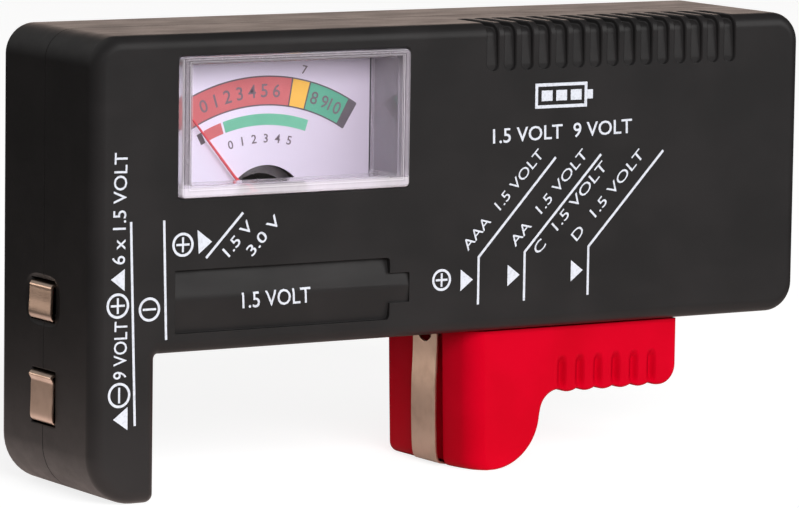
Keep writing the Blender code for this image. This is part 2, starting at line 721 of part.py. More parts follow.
def spring_contacts(material):
    inside_x = WALL + 0.8
    bow_x = -CONTACT_PROUD + STRIP_THICKNESS / 2
    low, high = UPPER_OPENING[0] + 0.6, UPPER_OPENING[1] - 0.6
    middle = (low + high) / 2
    path = [
        (inside_x, high + 5),
        (inside_x, high + 0.8),
        (inside_x - 0.6, high),
        (0.2, high),
        (-0.4, high - 0.8),
        (bow_x, middle),
        (-0.4, low + 0.8),
        (0.2, low),
        (inside_x - 0.6, low),
        (inside_x, low - 0.8),
        (inside_x, low - 2),
    ]
    ribbon("contact_9v_positive", smooth_path(path), strip_range(LEAF_MID_Y), material)
    low, high = LOWER_OPENING[0] + 0.5, LOWER_OPENING[1] - 0.5
    path = [
        (inside_x, high + 2.6),
        (inside_x, high + 0.7),
        (inside_x - 0.6, high),
        (0.1, high),
        (-0.35, high - 0.35),
        (0.05, high - 1.2),
        (-0.2, high - 2.2),
        (-0.25, low + 1.6),
        (-0.1, low + 0.4),
        (0.4, low),
        (inside_x - 0.5, low),
        (inside_x, low - 0.4),
        (inside_x, low - 0.7),
    ]
    ribbon("contact_9v_negative", smooth_path(path), strip_range(LEAF_MID_Y), material)
    inside_x = LEG_WIDTH - WALL - 0.9
    low, high = CELL_OPENING[0] + 0.5, CELL_OPENING[1] - 0.5
    middle = (low + high) / 2
    path = [
        (inside_x, high + 4),
        (inside_x, high + 0.8),
        (inside_x + 0.6, high),
        (LEG_WIDTH - 0.2, high - 0.2),
        (LEG_WIDTH + 0.45, middle + 2),
        (LEG_WIDTH + 0.7, middle),
        (LEG_WIDTH + 0.45, middle - 2),
        (LEG_WIDTH - 0.2, low + 0.2),
        (inside_x + 0.6, low),
        (inside_x, low + 0.1),
    ]
    ribbon("cell_contact", smooth_path(path), strip_range(), material)


def slider_outline(front_share, inset):
    """Side view of the slider, moved in at its left end by front_share and all round by inset."""
    left = SLIDER_LEFT + front_share
    base = SLIDER_BOTTOM + inset
    heel_x = SLIDER_LEFT + 4.8
    heel_z = SLIDER_BOTTOM + HEEL_RADIUS
    top = BODY_BOTTOM - GAP
    foot = left + SLIDER_DRAFT
    floor_x = foot + SLIDER_TOE
    points = [(left, top), (foot, base + SLIDER_TOE), (foot + 0.5, base + 0.5), (floor_x, base)]
    for step in range(9):
        angle = math.radians(-88 + 84 * step / 8)
        reach = HEEL_RADIUS - inset
        x = max(heel_x + reach * math.cos(angle), floor_x + 0.05 * (step + 1))
        points.append((x, heel_z + reach * math.sin(angle)))
    hook_x = heel_x + HEEL_RADIUS + HOOK_RADIUS + 0.1
    hook_z = SLIDER_TAIL_BOTTOM - HOOK_RADIUS
    for step in range(5):
        angle = math.radians(170 - 75 * step / 4)
        reach = HOOK_RADIUS + inset
        points.append((hook_x + reach * math.cos(angle), hook_z + reach * math.sin(angle)))
    for index in range(LOBE_COUNT):
        for step in range(4):
            share = step / 4
            x = LOBE_FIRST_X - LOBE_PITCH / 2 + (index + share) * LOBE_PITCH
            points.append((x, SLIDER_TAIL_BOTTOM + inset - LOBE_SAG * math.sin(math.pi * share)))
    last_x = LOBE_FIRST_X + (LOBE_COUNT - 0.5) * LOBE_PITCH
    corner = SLIDER_RIGHT - last_x
    right = SLIDER_RIGHT - inset
    for step in range(5):
        angle = math.radians(-90 + 90 * step / 4)
        x = min(last_x + corner * math.cos(angle), right)
        points.append((x, SLIDER_TAIL_BOTTOM + inset + corner + corner * math.sin(angle)))
    points.append((right, top))
    return points


def slider(material):
    """Red thumb slider: arm, finger tail, and the neck and flange that hold it in the track."""
    rings = []
    for y, edge_round, side in (
        (SLIDER_FRONT_Y, SLIDER_FRONT_ROUND, 1),
        (SLIDER_BACK_Y, SLIDER_BACK_ROUND, -1),
    ):
        part = []
        for share in (0.0, 0.12, 0.35, 0.65, 1.0):
            depth = share * edge_round
            back_off = edge_round - math.sqrt(max(edge_round**2 - (edge_round - depth) ** 2, 0.0))
            fillet_left = max(SLIDER_FILLET - depth, 0.0)
            inset = SLIDER_FILLET - math.sqrt(max(SLIDER_FILLET**2 - fillet_left**2, 0.0))
            part.append(at_depth(slider_outline(back_off, inset), y + side * depth))
        rings += part if side == 1 else part[::-1]
    body = skin("slider", rings, material)
    neck_y = (MID_Y - NECK_HALF_DEPTH, MID_Y + NECK_HALF_DEPTH)
    join(body, box("slider_neck", (NECK_LEFT, NECK_RIGHT), neck_y, (BODY_BOTTOM - 2, FLANGE_TOP - 0.5)))
    flange_x = (NECK_LEFT - 0.6, NECK_RIGHT + 0.6)
    flange_y = (MID_Y - FLANGE_HALF_DEPTH, MID_Y + FLANGE_HALF_DEPTH)
    join(body, box("slider_flange", flange_x, flange_y, (FLANGE_BOTTOM, FLANGE_TOP)))
    for index in range(LOBE_COUNT):
        x = LOBE_FIRST_X + index * LOBE_PITCH
        cut(body, grip_flute(f"slider_flute_{index + 1}", x))
    groove_x = (SLIDER_LEFT - 1, SLIDER_LEFT + 8)
    groove_y = (SLIDER_STRIP_MID_Y - STRIP_WIDTH / 2 - GAP, SLIDER_STRIP_MID_Y + STRIP_WIDTH / 2 + GAP)
    cut(body, box("strip_groove", groove_x, groove_y, (-1, STRIP_THICKNESS + GAP)))
    return body


def grip_flute(name, x):
    """Cutter for a soft upright hollow on the front of the tail, which fades out at its upper end."""
    rings = []
    half = FLUTE_HALF_WIDTH
    outside = SLIDER_FRONT_Y - 1
    levels = (
        (SLIDER_TAIL_BOTTOM - 1.5, FLUTE_DEPTH),
        (FLUTE_TOP - 1.5, FLUTE_DEPTH),
        (FLUTE_TOP - 0.7, FLUTE_DEPTH / 2),
        (FLUTE_TOP, -0.02),
    )
    for z, depth in levels:
        ring = [(x - half, outside, z)]
        for across, share in ((-1.0, 0.0), (-0.5, 0.5), (0.0, 1.0), (0.5, 0.5), (1.0, 0.0)):
            y = SLIDER_FRONT_Y - 0.02 + (depth + 0.02) * share
            ring.append((x + half * across, y, z))
        ring.append((x + half, outside, z))
        rings.append(ring)
    return skin(name, rings)


def slider_contact(material):
    """Sprung strip: under the arm, up its left face, through the track and over to the wiper end."""
    face_x = SLIDER_LEFT - GAP - STRIP_THICKNESS / 2
    floor_z = STRIP_THICKNESS / 2
    path = [
        (SLIDER_LEFT + 7.2, floor_z),
        (SLIDER_LEFT + 3, floor_z),
        (SLIDER_LEFT + 0.9, floor_z + 0.07),
        (face_x + 0.25, 1.1),
        (face_x - 0.05, 4.5),
        (face_x - 0.15, 10.0),
        (face_x, 15.0),
        (face_x, 19.0),
        (face_x + 0.1, 21.4),
        (face_x + 0.7, 23.0),
        (SLIDER_LEFT + 2.2, 23.3),
        (SLIDER_LEFT + 4.5, 24.1),
        (SLIDER_LEFT + 6.5, 24.65),
        (SLIDER_LEFT + 8.2, 24.1),
    ]
    return ribbon("slider_contact", smooth_path(path), strip_range(SLIDER_STRIP_MID_Y), material)


def contact_rail(material):
    y_range = (MID_Y - RAIL_WIDTH / 2, MID_Y + RAIL_WIDTH / 2)
    box("contact_rail", (RAIL_LEFT, RAIL_RIGHT), y_range, (RAIL_Z, RAIL_Z + RAIL_THICKNESS), material)


def resistor(name, x, y, z, material):
    """Axial resistor along x, its two bent-free leads included."""
    half_profile = ((1.9, 1.05), (2.3, 1.25), (3.4, 1.1), (3.6, 0.3), (8.0, 0.3))
    profile = [(-along, radius) for along, radius in reversed(half_profile)] + list(half_profile)
    rings = []
    for along, radius in profile:
        ring = []
        for i in range(10):
            angle = math.tau * i / 10
            ring.append((x + along, y + radius * math.cos(angle), z + radius * math.sin(angle)))
        rings.append(ring)
    return skin(name, rings, material)


def wires(red, black):
    eye_z = METER_BASE_BOTTOM + 2.0
    runs = (
        ("wire_9v_positive", red, (
            (4.4, 12.0, 31.5), (8.5, 14.0, 33.5), (9.6, 20.6, 46.0),
            (30, 21.4, 51.0), (54, 20.5, 49.0), (60.2, 17.0, 44.6))),
        ("wire_9v_negative", black, (
            (4.6, 15.5, 18.6), (5.0, 19.5, 20.5), (9.5, 21.6, 25.0),
            (16, 21.6, 27.6), (19.6, 21.0, eye_z))),
        ("wire_cell", black, (
            (5.3, 10.0, 21.4), (8.2, 9.5, 25.4), (10.8, 15.0, 27.0),
            (12.5, 19.6, 27.2), (15.0, 19.7, 30.6), (17.3, 19.7, 33.2))),
        ("wire_rail", red, (
            (98, 12.7, 26.8), (97.0, 14.0, 30.0), (92, 17.0, 35.5),
            (85.0, 17.0, 36.2), (78.8, 17.0, 36.0))),
        ("wire_meter_positive", red, (
            (61.2, 17.0, 36.0), (56.0, 18.0, 36.0), (50.0, 20.6, 34.5),
            (43.5, 21.0, eye_z + 1.5), (40.8, 20.4, eye_z + 0.6))),
    )
    for name, material, points in runs:
        wire(name, points, material)


def build():
    clear_scene()
    corner = bpy.data.objects.new("case_corner", None)
    bpy.context.scene.collection.objects.link(corner)
    middle_x = (CASE_WIDTH - CONTACT_PROUD) / 2
    middle_y = (CASE_DEPTH - WINDOW_PROUD) / 2
    corner.location = Vector((-middle_x, -middle_y, 0.0)) * MM

    black_plastic = make_material("black_abs", (0.025, 0.025, 0.027), 0.45)
    red_plastic = make_material("red_abs", (0.62, 0.006, 0.02), 0.38)
    clear_plastic = make_material("clear_styrene", (0.95, 0.93, 0.97), 0.08, transmission=1.0)
    base_plastic = make_material("meter_base_abs", (0.05, 0.05, 0.055), 0.5)
    dial_card = make_material("dial_card", (0.80, 0.74, 0.86), 0.6)
    needle_paint = make_material("needle_paint", (0.75, 0.02, 0.04), 0.45)
    nickel = make_material("nickel_strip", (0.58, 0.48, 0.40), 0.3, metallic=1.0)
    steel = make_material("zinc_steel", (0.45, 0.46, 0.48), 0.35, metallic=1.0)
    brass = make_material("brass", (0.62, 0.45, 0.20), 0.3, metallic=1.0)
    copper = make_material("copper_winding", (0.60, 0.24, 0.12), 0.35, metallic=1.0)
    magnet = make_material("alnico", (0.30, 0.30, 0.31), 0.45, metallic=1.0)
    resistor_body = make_material("resistor_body", (0.55, 0.42, 0.26), 0.5)
    red_wire = make_material("red_insulation", (0.55, 0.02, 0.02), 0.5)
    black_wire = make_material("black_insulation", (0.02, 0.02, 0.02), 0.5)

    openings = wall_openings()
    front_shell(black_plastic, openings)
    rear_shell(black_plastic, openings)
    case_screws(steel)
    meter_cover(clear_plastic)
    dial_plate(dial_card)
    meter_base(base_plastic)
    magnet_system(magnet, steel, brass)
    needle(needle_paint)
    moving_coil(copper)
    pivot_staffs(steel)
    spiral_spring("hairspring_front", 5.9, brass)
    spiral_spring("hairspring_rear", CORE_BACK_Y + 1.5, brass)
    meter_terminals(brass)
    spring_contacts(nickel)
    slider(red_plastic)
    slider_contact(nickel)
    contact_rail(brass)
    resistor("resistor_9v", 69.0, 17.0, 44.5, resistor_body)
    resistor("resistor_cell", 70.0, 17.0, 36.0, resistor_body)
    wires(red_wire, black_wire)


build()
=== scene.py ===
"""Looks of the hand-held analogue battery tester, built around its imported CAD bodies.

Every shape is modelled in millimetres in the corner frame of the case: x from the left end, y from the
front face towards the back, z from the surface the tester stands on. finish_piece turns that into metres
in the CAD's own frame.
"""

import json
import math

import bmesh
import bpy
from mathutils import Matrix, Vector


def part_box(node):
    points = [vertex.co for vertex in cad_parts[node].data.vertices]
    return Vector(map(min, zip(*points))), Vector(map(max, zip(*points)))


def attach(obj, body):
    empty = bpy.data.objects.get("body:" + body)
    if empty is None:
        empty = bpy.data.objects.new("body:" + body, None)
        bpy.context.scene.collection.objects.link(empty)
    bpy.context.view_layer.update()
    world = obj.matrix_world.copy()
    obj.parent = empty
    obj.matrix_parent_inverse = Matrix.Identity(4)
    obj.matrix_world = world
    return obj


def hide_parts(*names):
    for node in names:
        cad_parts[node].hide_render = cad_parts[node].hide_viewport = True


MM = 0.001
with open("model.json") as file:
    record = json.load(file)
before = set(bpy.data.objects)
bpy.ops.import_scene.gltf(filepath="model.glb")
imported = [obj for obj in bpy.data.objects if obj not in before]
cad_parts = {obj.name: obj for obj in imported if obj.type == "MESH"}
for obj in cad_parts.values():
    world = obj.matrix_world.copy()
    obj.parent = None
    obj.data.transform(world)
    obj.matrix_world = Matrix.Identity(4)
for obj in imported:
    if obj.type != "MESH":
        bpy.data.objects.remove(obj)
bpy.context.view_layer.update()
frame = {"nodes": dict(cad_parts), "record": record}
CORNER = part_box("front_shell")[0]


def span(node):
    """Lowest and highest corner of a CAD node, in millimetres in the corner frame."""
    low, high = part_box(node)
    return (low - CORNER) / MM, (high - CORNER) / MM


CASE_WIDTH, CASE_DEPTH, CASE_HEIGHT = span("rear_shell")[1]
MID_Y = CASE_DEPTH / 2

# Case
BODY_BOTTOM = 19.1
LEG_WIDTH = 9.5
WALL = 1.8
RELIEF_BOTTOM = 21.7
RELIEF_TOP = 29.85
RELIEF_RIDGE_Z = 26.1
SEAM_Y = 13.3
SEAM_GAP = 0.03
SEAM_CHAMFER = 0.07
CORNER_RADIUS = 4.0
TOE_RADIUS = 6.5
LEG_INNER_RADIUS = 1.2
CROTCH_RADIUS = 0.6
FRONT_FILLET = 1.8
BACK_FILLET = 1.5
TONGUE_INSET = 1.05
REBATE_INSET = 0.7
TRACK_X = (10.9, 104.9)
TRACK_HALF_DEPTH = 3.8

# Meter
COVER_LOW, COVER_HIGH = span("meter_cover")
COVER_WALL = 1.3
COVER_TOP_WALL = 0.75
COVER_FRONT_WALL = 1.2
# Share on the cover's side walls of the rough rim shader, whose colour is painted light.
COVER_FROST_AND_PAINT = 0.62
DIAL_LOW, DIAL_HIGH = span("dial_plate")
DIAL_Y = DIAL_LOW.y
ARC_CENTRE = (28.9, 27.3)
PIVOT = (COVER_LOW.x + COVER_HIGH.x) / 2, 35.7

# Contacts
STRIP_WIDTH = 6.0
NEEDLE_CRANK = 0.35
NEEDLE_TIP_SHIFT = 0.4
UPPER_LEAF_Y = 13.55
LEAF_MID_Y = (span("contact_9v_positive")[0].y + span("contact_9v_positive")[1].y) / 2
SLIDER_STRIP_MID_Y = 11.65

# Slider
SLIDER_LOW, SLIDER_HIGH = span("slider")
SLIDER_TOP = 18.8
SLIDER_BASE = 0.03
SLIDER_FILLET = 0.5
HEEL_RADIUS = 7.4
SLIDER_LEFT = SLIDER_LOW.x
SLIDER_RIGHT = SLIDER_HIGH.x
SLIDER_FRONT_Y = 2.4
SLIDER_BACK_Y = 22.6
TAIL_BOTTOM = 10.25
LOBE_COUNT = 6
LOBE_PITCH = 2.89
LOBE_DROP = 0.42
LOBE_FIRST_X = 73.8

# White marks on the face
MARK_HEIGHT = 0.035
LINE_WIDTH = 0.33


# ---------------------------------------------------------------- mesh helpers


def loft(rings, closed=False):
    """A solid skinned over rings of equal length, capped, or joined end to end when closed."""
    data = bmesh.new()
    rows = []
    for ring in rings:
        rows.append([data.verts.new(Vector(point)) for point in ring])
    spans = list(zip(rows, rows[1:]))
    if closed:
        spans.append((rows[-1], rows[0]))
    count = len(rows[0])
    for low, high in spans:
        for i in range(count):
            j = (i + 1) % count
            data.faces.new((low[i], low[j], high[j], high[i]))
    if not closed:
        data.faces.new(rows[0])
        data.faces.new(rows[-1])
    bmesh.ops.recalc_face_normals(data, faces=data.faces)
    return data


def merge(*parts):
    """One mesh out of several, without joining their surfaces."""
    whole = bmesh.new()
    for part in parts:
        mesh = bpy.data.meshes.new("part")
        part.to_mesh(mesh)
        part.free()
        whole.from_mesh(mesh)
        bpy.data.meshes.remove(mesh)
    return whole


def moved(data, matrix):
    data.transform(matrix)
    return data


def holder(data, name="holder"):
    mesh = bpy.data.meshes.new(name)
    data.to_mesh(mesh)
    data.free()
    obj = bpy.data.objects.new(name, mesh)
    bpy.context.scene.collection.objects.link(obj)
    return obj


def evaluated_mesh(obj):
    """The object's mesh with its modifiers worked out, as mesh data; the object is removed."""
    graph = bpy.context.evaluated_depsgraph_get()
    graph.update()
    mesh = bpy.data.meshes.new_from_object(obj.evaluated_get(graph))
    data = bmesh.new()
    data.from_mesh(mesh)
    bpy.data.meshes.remove(mesh)
    bpy.data.objects.remove(obj)
    return data


def combined(base, operation, *others):
    """The base cut by, or united with, each of the others in turn."""
    target = holder(base)
    helpers = []
    for other in others:
        helper = holder(other)
        helpers.append(helper)
        modifier = target.modifiers.new("combine", "BOOLEAN")
        modifier.operation = operation
        modifier.solver = "EXACT"
        modifier.object = helper
    bpy.context.view_layer.update()
    result = evaluated_mesh(target)
    for helper in helpers:
        bpy.data.objects.remove(helper)
    return result


def bevelled(data, width, segments=2, angle=40):
    """The mesh with its sharp edges rounded."""
    obj = holder(data)
    modifier = obj.modifiers.new("bevel", "BEVEL")
    modifier.width = width
    modifier.segments = segments
    modifier.limit_method = "ANGLE"
    modifier.angle_limit = math.radians(angle)
    bpy.context.view_layer.update()
    return evaluated_mesh(obj)


def finish_piece(name, data, material, body, nodes=(), sharp=32):
    """Turns mesh data into a piece that rides on a body and stands for the given CAD nodes."""
    bmesh.ops.remove_doubles(data, verts=data.verts, dist=1e-5)
    bmesh.ops.dissolve_degenerate(data, edges=data.edges, dist=1e-5)
    data.transform(Matrix.Translation(CORNER) @ Matrix.Scale(MM, 4))
    mesh = bpy.data.meshes.new(name)
    data.to_mesh(mesh)
    data.free()
    mesh.shade_smooth()
    mesh.set_sharp_from_angle(angle=math.radians(sharp))
    mesh.materials.clear()
    mesh.materials.append(material)
    mesh.polygons.foreach_set("material_index", [0] * len(mesh.polygons))
    obj = bpy.data.objects.new(name, mesh)
    bpy.context.scene.collection.objects.link(obj)
    weights = obj.modifiers.new("flat_faces_stay_flat", "WEIGHTED_NORMAL")
    weights.keep_sharp = True
    weights.weight = 100
    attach(obj, body)
    if nodes:
        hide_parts(*nodes)
    return obj


def rounded_outline(corners, inset=0.0, steps=12, smallest=0.05):
    """Points of a right-angled outline, listed anticlockwise as (x, z, radius), moved inwards by inset."""
    points = []
    count = len(corners)
    for i, (x, z, radius) in enumerate(corners):
        here = Vector((x, z))
        before = Vector(corners[i - 1][:2])
        after = Vector(corners[(i + 1) % count][:2])
        arriving = (here - before).normalized()
        leaving = (after - here).normalized()
        inward = Vector((-arriving.y, arriving.x)) + Vector((-leaving.y, leaving.x))
        turns_left = arriving.x * leaving.y - arriving.y * leaving.x > 0
        if turns_left:
            radius = max(radius - inset, smallest)
        else:
            radius = radius + inset
        centre = here + inward * inset + (leaving - arriving) * radius
        for step in range(steps + 1):
            angle = math.pi / 2 * step / steps
            points.append(centre + (arriving * math.sin(angle) - leaving * math.cos(angle)) * radius)
    return points


def at_depth(outline, y):
    return [(point[0], y, point[1]) for point in outline]


def rectangle(left, right, bottom, top, radius):
    return ((left, bottom, radius), (right, bottom, radius), (right, top, radius), (left, top, radius))


def block(x_range, y_range, z_range):
    corners = ((x_range[0], z_range[0]), (x_range[1], z_range[0]), (x_range[1], z_range[1]),
               (x_range[0], z_range[1]))
    return loft([at_depth(corners, y) for y in y_range])


def turned_y(x, z, profile, count=40):
    """A solid of revolution about a front-to-back axis, from (y, radius) pairs."""
    rings = []
    for y, radius in profile:
        ring = []
        for i in range(count):
            angle = math.tau * i / count
            ring.append((x + radius * math.cos(angle), y, z + radius * math.sin(angle)))
        rings.append(ring)
    return loft(rings)


def smooth_path(points, steps=8):
    """A Catmull-Rom curve through the given 2-D points."""
    path = []
    padded = [points[0], *points, points[-1]]
    for i in range(1, len(padded) - 2):
        a, b, c, d = (Vector(p) for p in padded[i - 1 : i + 3])
        for step in range(steps):
            t = step / steps
            cubic = (3 * b - a - 3 * c + d) * t**3
            path.append(0.5 * (2 * b + (c - a) * t + (2 * a - 5 * b + 4 * c - d) * t**2 + cubic))
    path.append(Vector(points[-1]))
    return path


def ribbon(path, y_range, thickness=0.35, edge=0.07):
    """A bent metal strip: a path in x and z, given a thickness and a width, with eased edges."""
    left = []
    right = []
    for i, point in enumerate(path):
        direction = (path[min(i + 1, len(path) - 1)] - path[max(i - 1, 0)]).normalized()
        across = Vector((-direction.y, direction.x)) * thickness / 2
        left.append((point + across, across.normalized()))
        right.append((point - across, -across.normalized()))
    rings = []
    sides = ((y_range[0], edge), (y_range[0] + edge, 0.0), (y_range[1] - edge, 0.0), (y_range[1], edge))
    for y, shrink in sides:
        outline = [point - out * shrink for point, out in left]
        outline += [point - out * shrink for point, out in reversed(right)]
        rings.append(at_depth(outline, y))
    return loft(rings)


# ---------------------------------------------------------------- materials


class Nodes:
    """Small helper that adds and links the nodes of one material or world."""

    def __init__(self, tree):
        self.tree = tree
        self.tree.nodes.clear()

    def add(self, kind, inputs=None, **settings):
        node = self.tree.nodes.new(kind)
        for name, value in settings.items():
            setattr(node, name, value)
        for key, value in (inputs or {}).items():
            socket = node.inputs[key]
            if isinstance(value, bpy.types.NodeSocket):
                self.tree.links.new(value, socket)
            else:
                socket.default_value = value
        return node

    def place(self):
        """Position on the object in millimetres."""
        coordinates = self.add("ShaderNodeTexCoord")
        scaled = self.add("ShaderNodeVectorMath", {0: coordinates.outputs["Object"]}, operation="SCALE")
        scaled.inputs["Scale"].default_value = 1 / MM
        return scaled.outputs["Vector"]

    def noise(self, place, scale, detail=3.0, stretch=None):
        if stretch is not None:
            mapping = self.add("ShaderNodeMapping", {"Vector": place, "Scale": stretch})
            place = mapping.outputs["Vector"]
        noise = self.add("ShaderNodeTexNoise", {"Vector": place, "Scale": scale, "Detail": detail})
        return noise.outputs["Fac"]

    def fit(self, value, low, high, start=0.3, end=0.7, smooth=True):
        kind = "SMOOTHSTEP" if smooth else "LINEAR"
        limits = {"Value": value, "From Min": start, "From Max": end, "To Min": low, "To Max": high}
        return self.add("ShaderNodeMapRange", limits, interpolation_type=kind).outputs["Result"]

    def blend(self, share, first, second):
        mix = self.add("ShaderNodeMix", {"Factor": share}, data_type="RGBA")
        for socket, value in ((mix.inputs[6], first), (mix.inputs[7], second)):
            if isinstance(value, bpy.types.NodeSocket):
                self.tree.links.new(value, socket)
            else:
                socket.default_value = (*value, 1.0)
        return mix.outputs[2]

    def bump(self, height, strength, distance, normal=None):
        inputs = {"Height": height, "Strength": strength, "Distance": distance}
        if normal is not None:
            inputs["Normal"] = normal
        return self.add("ShaderNodeBump", inputs).outputs["Normal"]

    def soft_edges(self, radius):
        return self.add("ShaderNodeBevel", {"Radius": radius}, samples=4).outputs["Normal"]

    def finish(self, shader):
        self.add("ShaderNodeOutputMaterial", {"Surface": shader})


def new_material(name):
    material = bpy.data.materials.new(name)
    material.use_nodes = True
    return material, Nodes(material.node_tree)


def moulded_plastic(name, colour, faint, roughness, edge=0.00012, grain=0.10, specular=0.5, rim=1.0):
    """Satin ABS: fine moulding grain, a faint flow mottling, slightly polished edges, and painted shade (rim) that
    darkens colour and gloss at the silhouettes.
    """
    material, nodes = new_material(name)
    place = nodes.place()
    cloud = nodes.noise(place, 0.09, 4.0)
    flow = nodes.noise(place, 0.35, 3.0, (0.4, 1.0, 1.6))
    fine = nodes.noise(place, 7.0, 2.0)
    speck = nodes.noise(place, 2.2, 2.0)
    base = nodes.blend(nodes.fit(cloud, 0.0, 1.0, 0.35, 0.68), colour, faint)
    # Painted shade: where the surface turns away from view, the colour and the gloss are darkened by rim.
    grazing = nodes.add("ShaderNodeLayerWeight", {"Blend": 0.5}).outputs["Facing"]
    base = nodes.blend(nodes.fit(grazing, 0.0, 1.0, 0.72, 1.0), base, tuple(rim * part for part in colour))
    gloss = nodes.fit(grazing, specular, rim * specular, 0.72, 1.0)
    rough = nodes.add("ShaderNodeMath", {0: nodes.fit(flow, roughness - 0.03, roughness + 0.04),
                                         1: nodes.fit(speck, -0.012, 0.012)}, operation="ADD")
    ripples = nodes.bump(flow, 0.05, 0.0002, nodes.soft_edges(edge))
    normal = nodes.bump(fine, grain, 0.00003, ripples)
    shader = nodes.add("ShaderNodeBsdfPrincipled", {
        "Base Color": base, "Roughness": rough.outputs[0], "Normal": normal, "Specular IOR Level": gloss})
    nodes.finish(shader.outputs[0])
    return material


def strip_metal(name, colour, dark, roughness, along=(0.25, 3.0, 0.25)):
    """Rolled and plated strip: lines along the rolling direction, light tarnish, fine scratches."""
    material, nodes = new_material(name)
    place = nodes.place()
    lines = nodes.noise(place, 2.4, 3.0, along)
    stain = nodes.noise(place, 0.45, 4.0)
    scratch = nodes.noise(place, 9.0, 1.0, (0.3, 4.0, 0.3))
    base = nodes.blend(nodes.fit(stain, 0.0, 0.8, 0.4, 0.75), colour, dark)
    rough = nodes.fit(lines, roughness - 0.015, roughness + 0.03)
    normal = nodes.bump(lines, 0.07, 0.00003, nodes.soft_edges(0.00006))
    normal = nodes.bump(scratch, 0.04, 0.00002, normal)
    shader = nodes.add("ShaderNodeBsdfPrincipled", {
        "Base Color": base, "Metallic": 1.0, "Roughness": rough, "Normal": normal, "Anisotropic": 0.35})
    nodes.finish(shader.outputs[0])
    return material


def clear_plastic(name):
    """Clear styrene: polished over the dial; where the walls are seen edge on, a rougher, half-clear streaked rim whose
    colour is painted light: painted highlight lines, painted dark lines, painted grey reflections of the dial, and a
    painted lighter bottom wall.
    """
    material, nodes = new_material(name)
    place = nodes.place()
    waves = nodes.noise(place, 0.12, 2.0)
    dust = nodes.noise(place, 5.0, 2.0)
    normal = nodes.bump(waves, 0.02, 0.0004)
    glass = nodes.add("ShaderNodeBsdfPrincipled", {
        "Base Color": (0.985, 0.975, 0.99, 1.0), "Roughness": nodes.fit(dust, 0.015, 0.05, 0.5, 0.8),
        "IOR": 1.5, "Transmission Weight": 1.0, "Normal": normal})
    streaks = nodes.noise(place, 1.4, 3.0, (2.6, 0.5, 0.35))
    centre = (COVER_LOW + COVER_HIGH) / 2
    half = (COVER_HIGH - COVER_LOW) / 2
    offset = nodes.add("ShaderNodeVectorMath", {0: place, 1: tuple(CORNER / MM + centre)}, operation="SUBTRACT")
    size = nodes.add("ShaderNodeVectorMath", {0: offset.outputs[0]}, operation="ABSOLUTE")
    beyond = nodes.add("ShaderNodeVectorMath", {0: size.outputs[0],
                                                1: (half.x - COVER_WALL, half.y, half.z - COVER_WALL)},
                       operation="SUBTRACT")
    parts = nodes.add("ShaderNodeSeparateXYZ", {0: beyond.outputs[0]})
    up = nodes.add("ShaderNodeSeparateXYZ", {0: offset.outputs[0]}).outputs["Z"]
    above = nodes.add("ShaderNodeMapRange", {
        "Value": up, "From Min": half.z - COVER_TOP_WALL, "From Max": half.z, "To Min": 0.0, "To Max": COVER_WALL},
        clamp=False).outputs["Result"]
    below = nodes.add("ShaderNodeMapRange", {
        "Value": up, "From Min": COVER_WALL - half.z, "From Max": -half.z, "To Min": 0.0, "To Max": COVER_WALL},
        clamp=False).outputs["Result"]
    level = nodes.add("ShaderNodeMath", {0: above, 1: below}, operation="MAXIMUM").outputs[0]
    edge = nodes.add("ShaderNodeMath", {0: parts.outputs["X"], 1: level}, operation="MAXIMUM")
    sides = nodes.fit(edge.outputs[0], 0.0, COVER_FROST_AND_PAINT, -0.12, 0.02, smooth=False)
    height = nodes.add("ShaderNodeSeparateXYZ", {0: offset.outputs[0]}).outputs["Z"]
    floor_wall = nodes.fit(height, 0.8, 0.0, COVER_WALL - half.z - 0.02, COVER_WALL - half.z + 0.12, smooth=False)
    frost_and_painted_light_share = nodes.add("ShaderNodeMath", {0: sides, 1: floor_wall}, operation="MAXIMUM").outputs[0]
    across = nodes.fit(edge.outputs[0], 0.0, 1.0, -0.1, COVER_WALL, smooth=False)
    ramp = nodes.add("ShaderNodeValToRGB", {"Fac": across})
    # Rim colour bands, all painted light: line is a painted highlight line, dark a painted dark line, wall and middle
    # painted grey reflections of the dial.
    middle = (0.50, 0.45, 0.51, 1.0)
    line = (0.97, 0.93, 0.99, 1.0)
    dark = (0.16, 0.14, 0.17, 1.0)
    wall = (0.76, 0.71, 0.77, 1.0)
    stops = ((0.0, wall), (0.09, wall), (0.13, dark), (0.19, dark), (0.22, line), (0.28, line), (0.32, dark),
             (0.38, dark), (0.46, middle), (0.70, middle), (0.78, dark), (0.83, dark), (0.87, line), (1.0, line))
    ramp.color_ramp.elements[0].color = wall
    ramp.color_ramp.elements[1].color = line
    for position, colour in stops[1:-1]:
        ramp.color_ramp.elements.new(position).color = colour
    pale = nodes.blend(nodes.fit(streaks, 0.0, 0.2), ramp.outputs["Color"], (0.80, 0.74, 0.82))
    # Painted light: the bottom wall is painted nearly white.
    tone = nodes.blend(nodes.fit(floor_wall, 0.0, 0.6, 0.0, 0.8), pale, (1.0, 0.96, 1.0))
    frost_and_painted_light = nodes.add("ShaderNodeBsdfPrincipled", {
        "Base Color": tone, "Roughness": 0.18, "IOR": 1.5, "Transmission Weight": 0.4,
        "Normal": nodes.bump(streaks, 0.15, 0.0001)})
    shell = nodes.add("ShaderNodeMixShader", {0: frost_and_painted_light_share, 1: glass.outputs[0], 2: frost_and_painted_light.outputs[0]})
    tint = nodes.add("ShaderNodeBsdfTransparent", {"Color": (0.93, 0.92, 0.94, 1.0)})
    path = nodes.add("ShaderNodeLightPath")
    either = nodes.add("ShaderNodeMath", {0: path.outputs["Is Shadow Ray"],
                                          1: path.outputs["Is Diffuse Ray"]}, operation="MAXIMUM")
    mix = nodes.add("ShaderNodeMixShader", {0: either.outputs[0], 1: shell.outputs[0], 2: tint.outputs[0]})
    nodes.finish(mix.outputs[0])
    return material


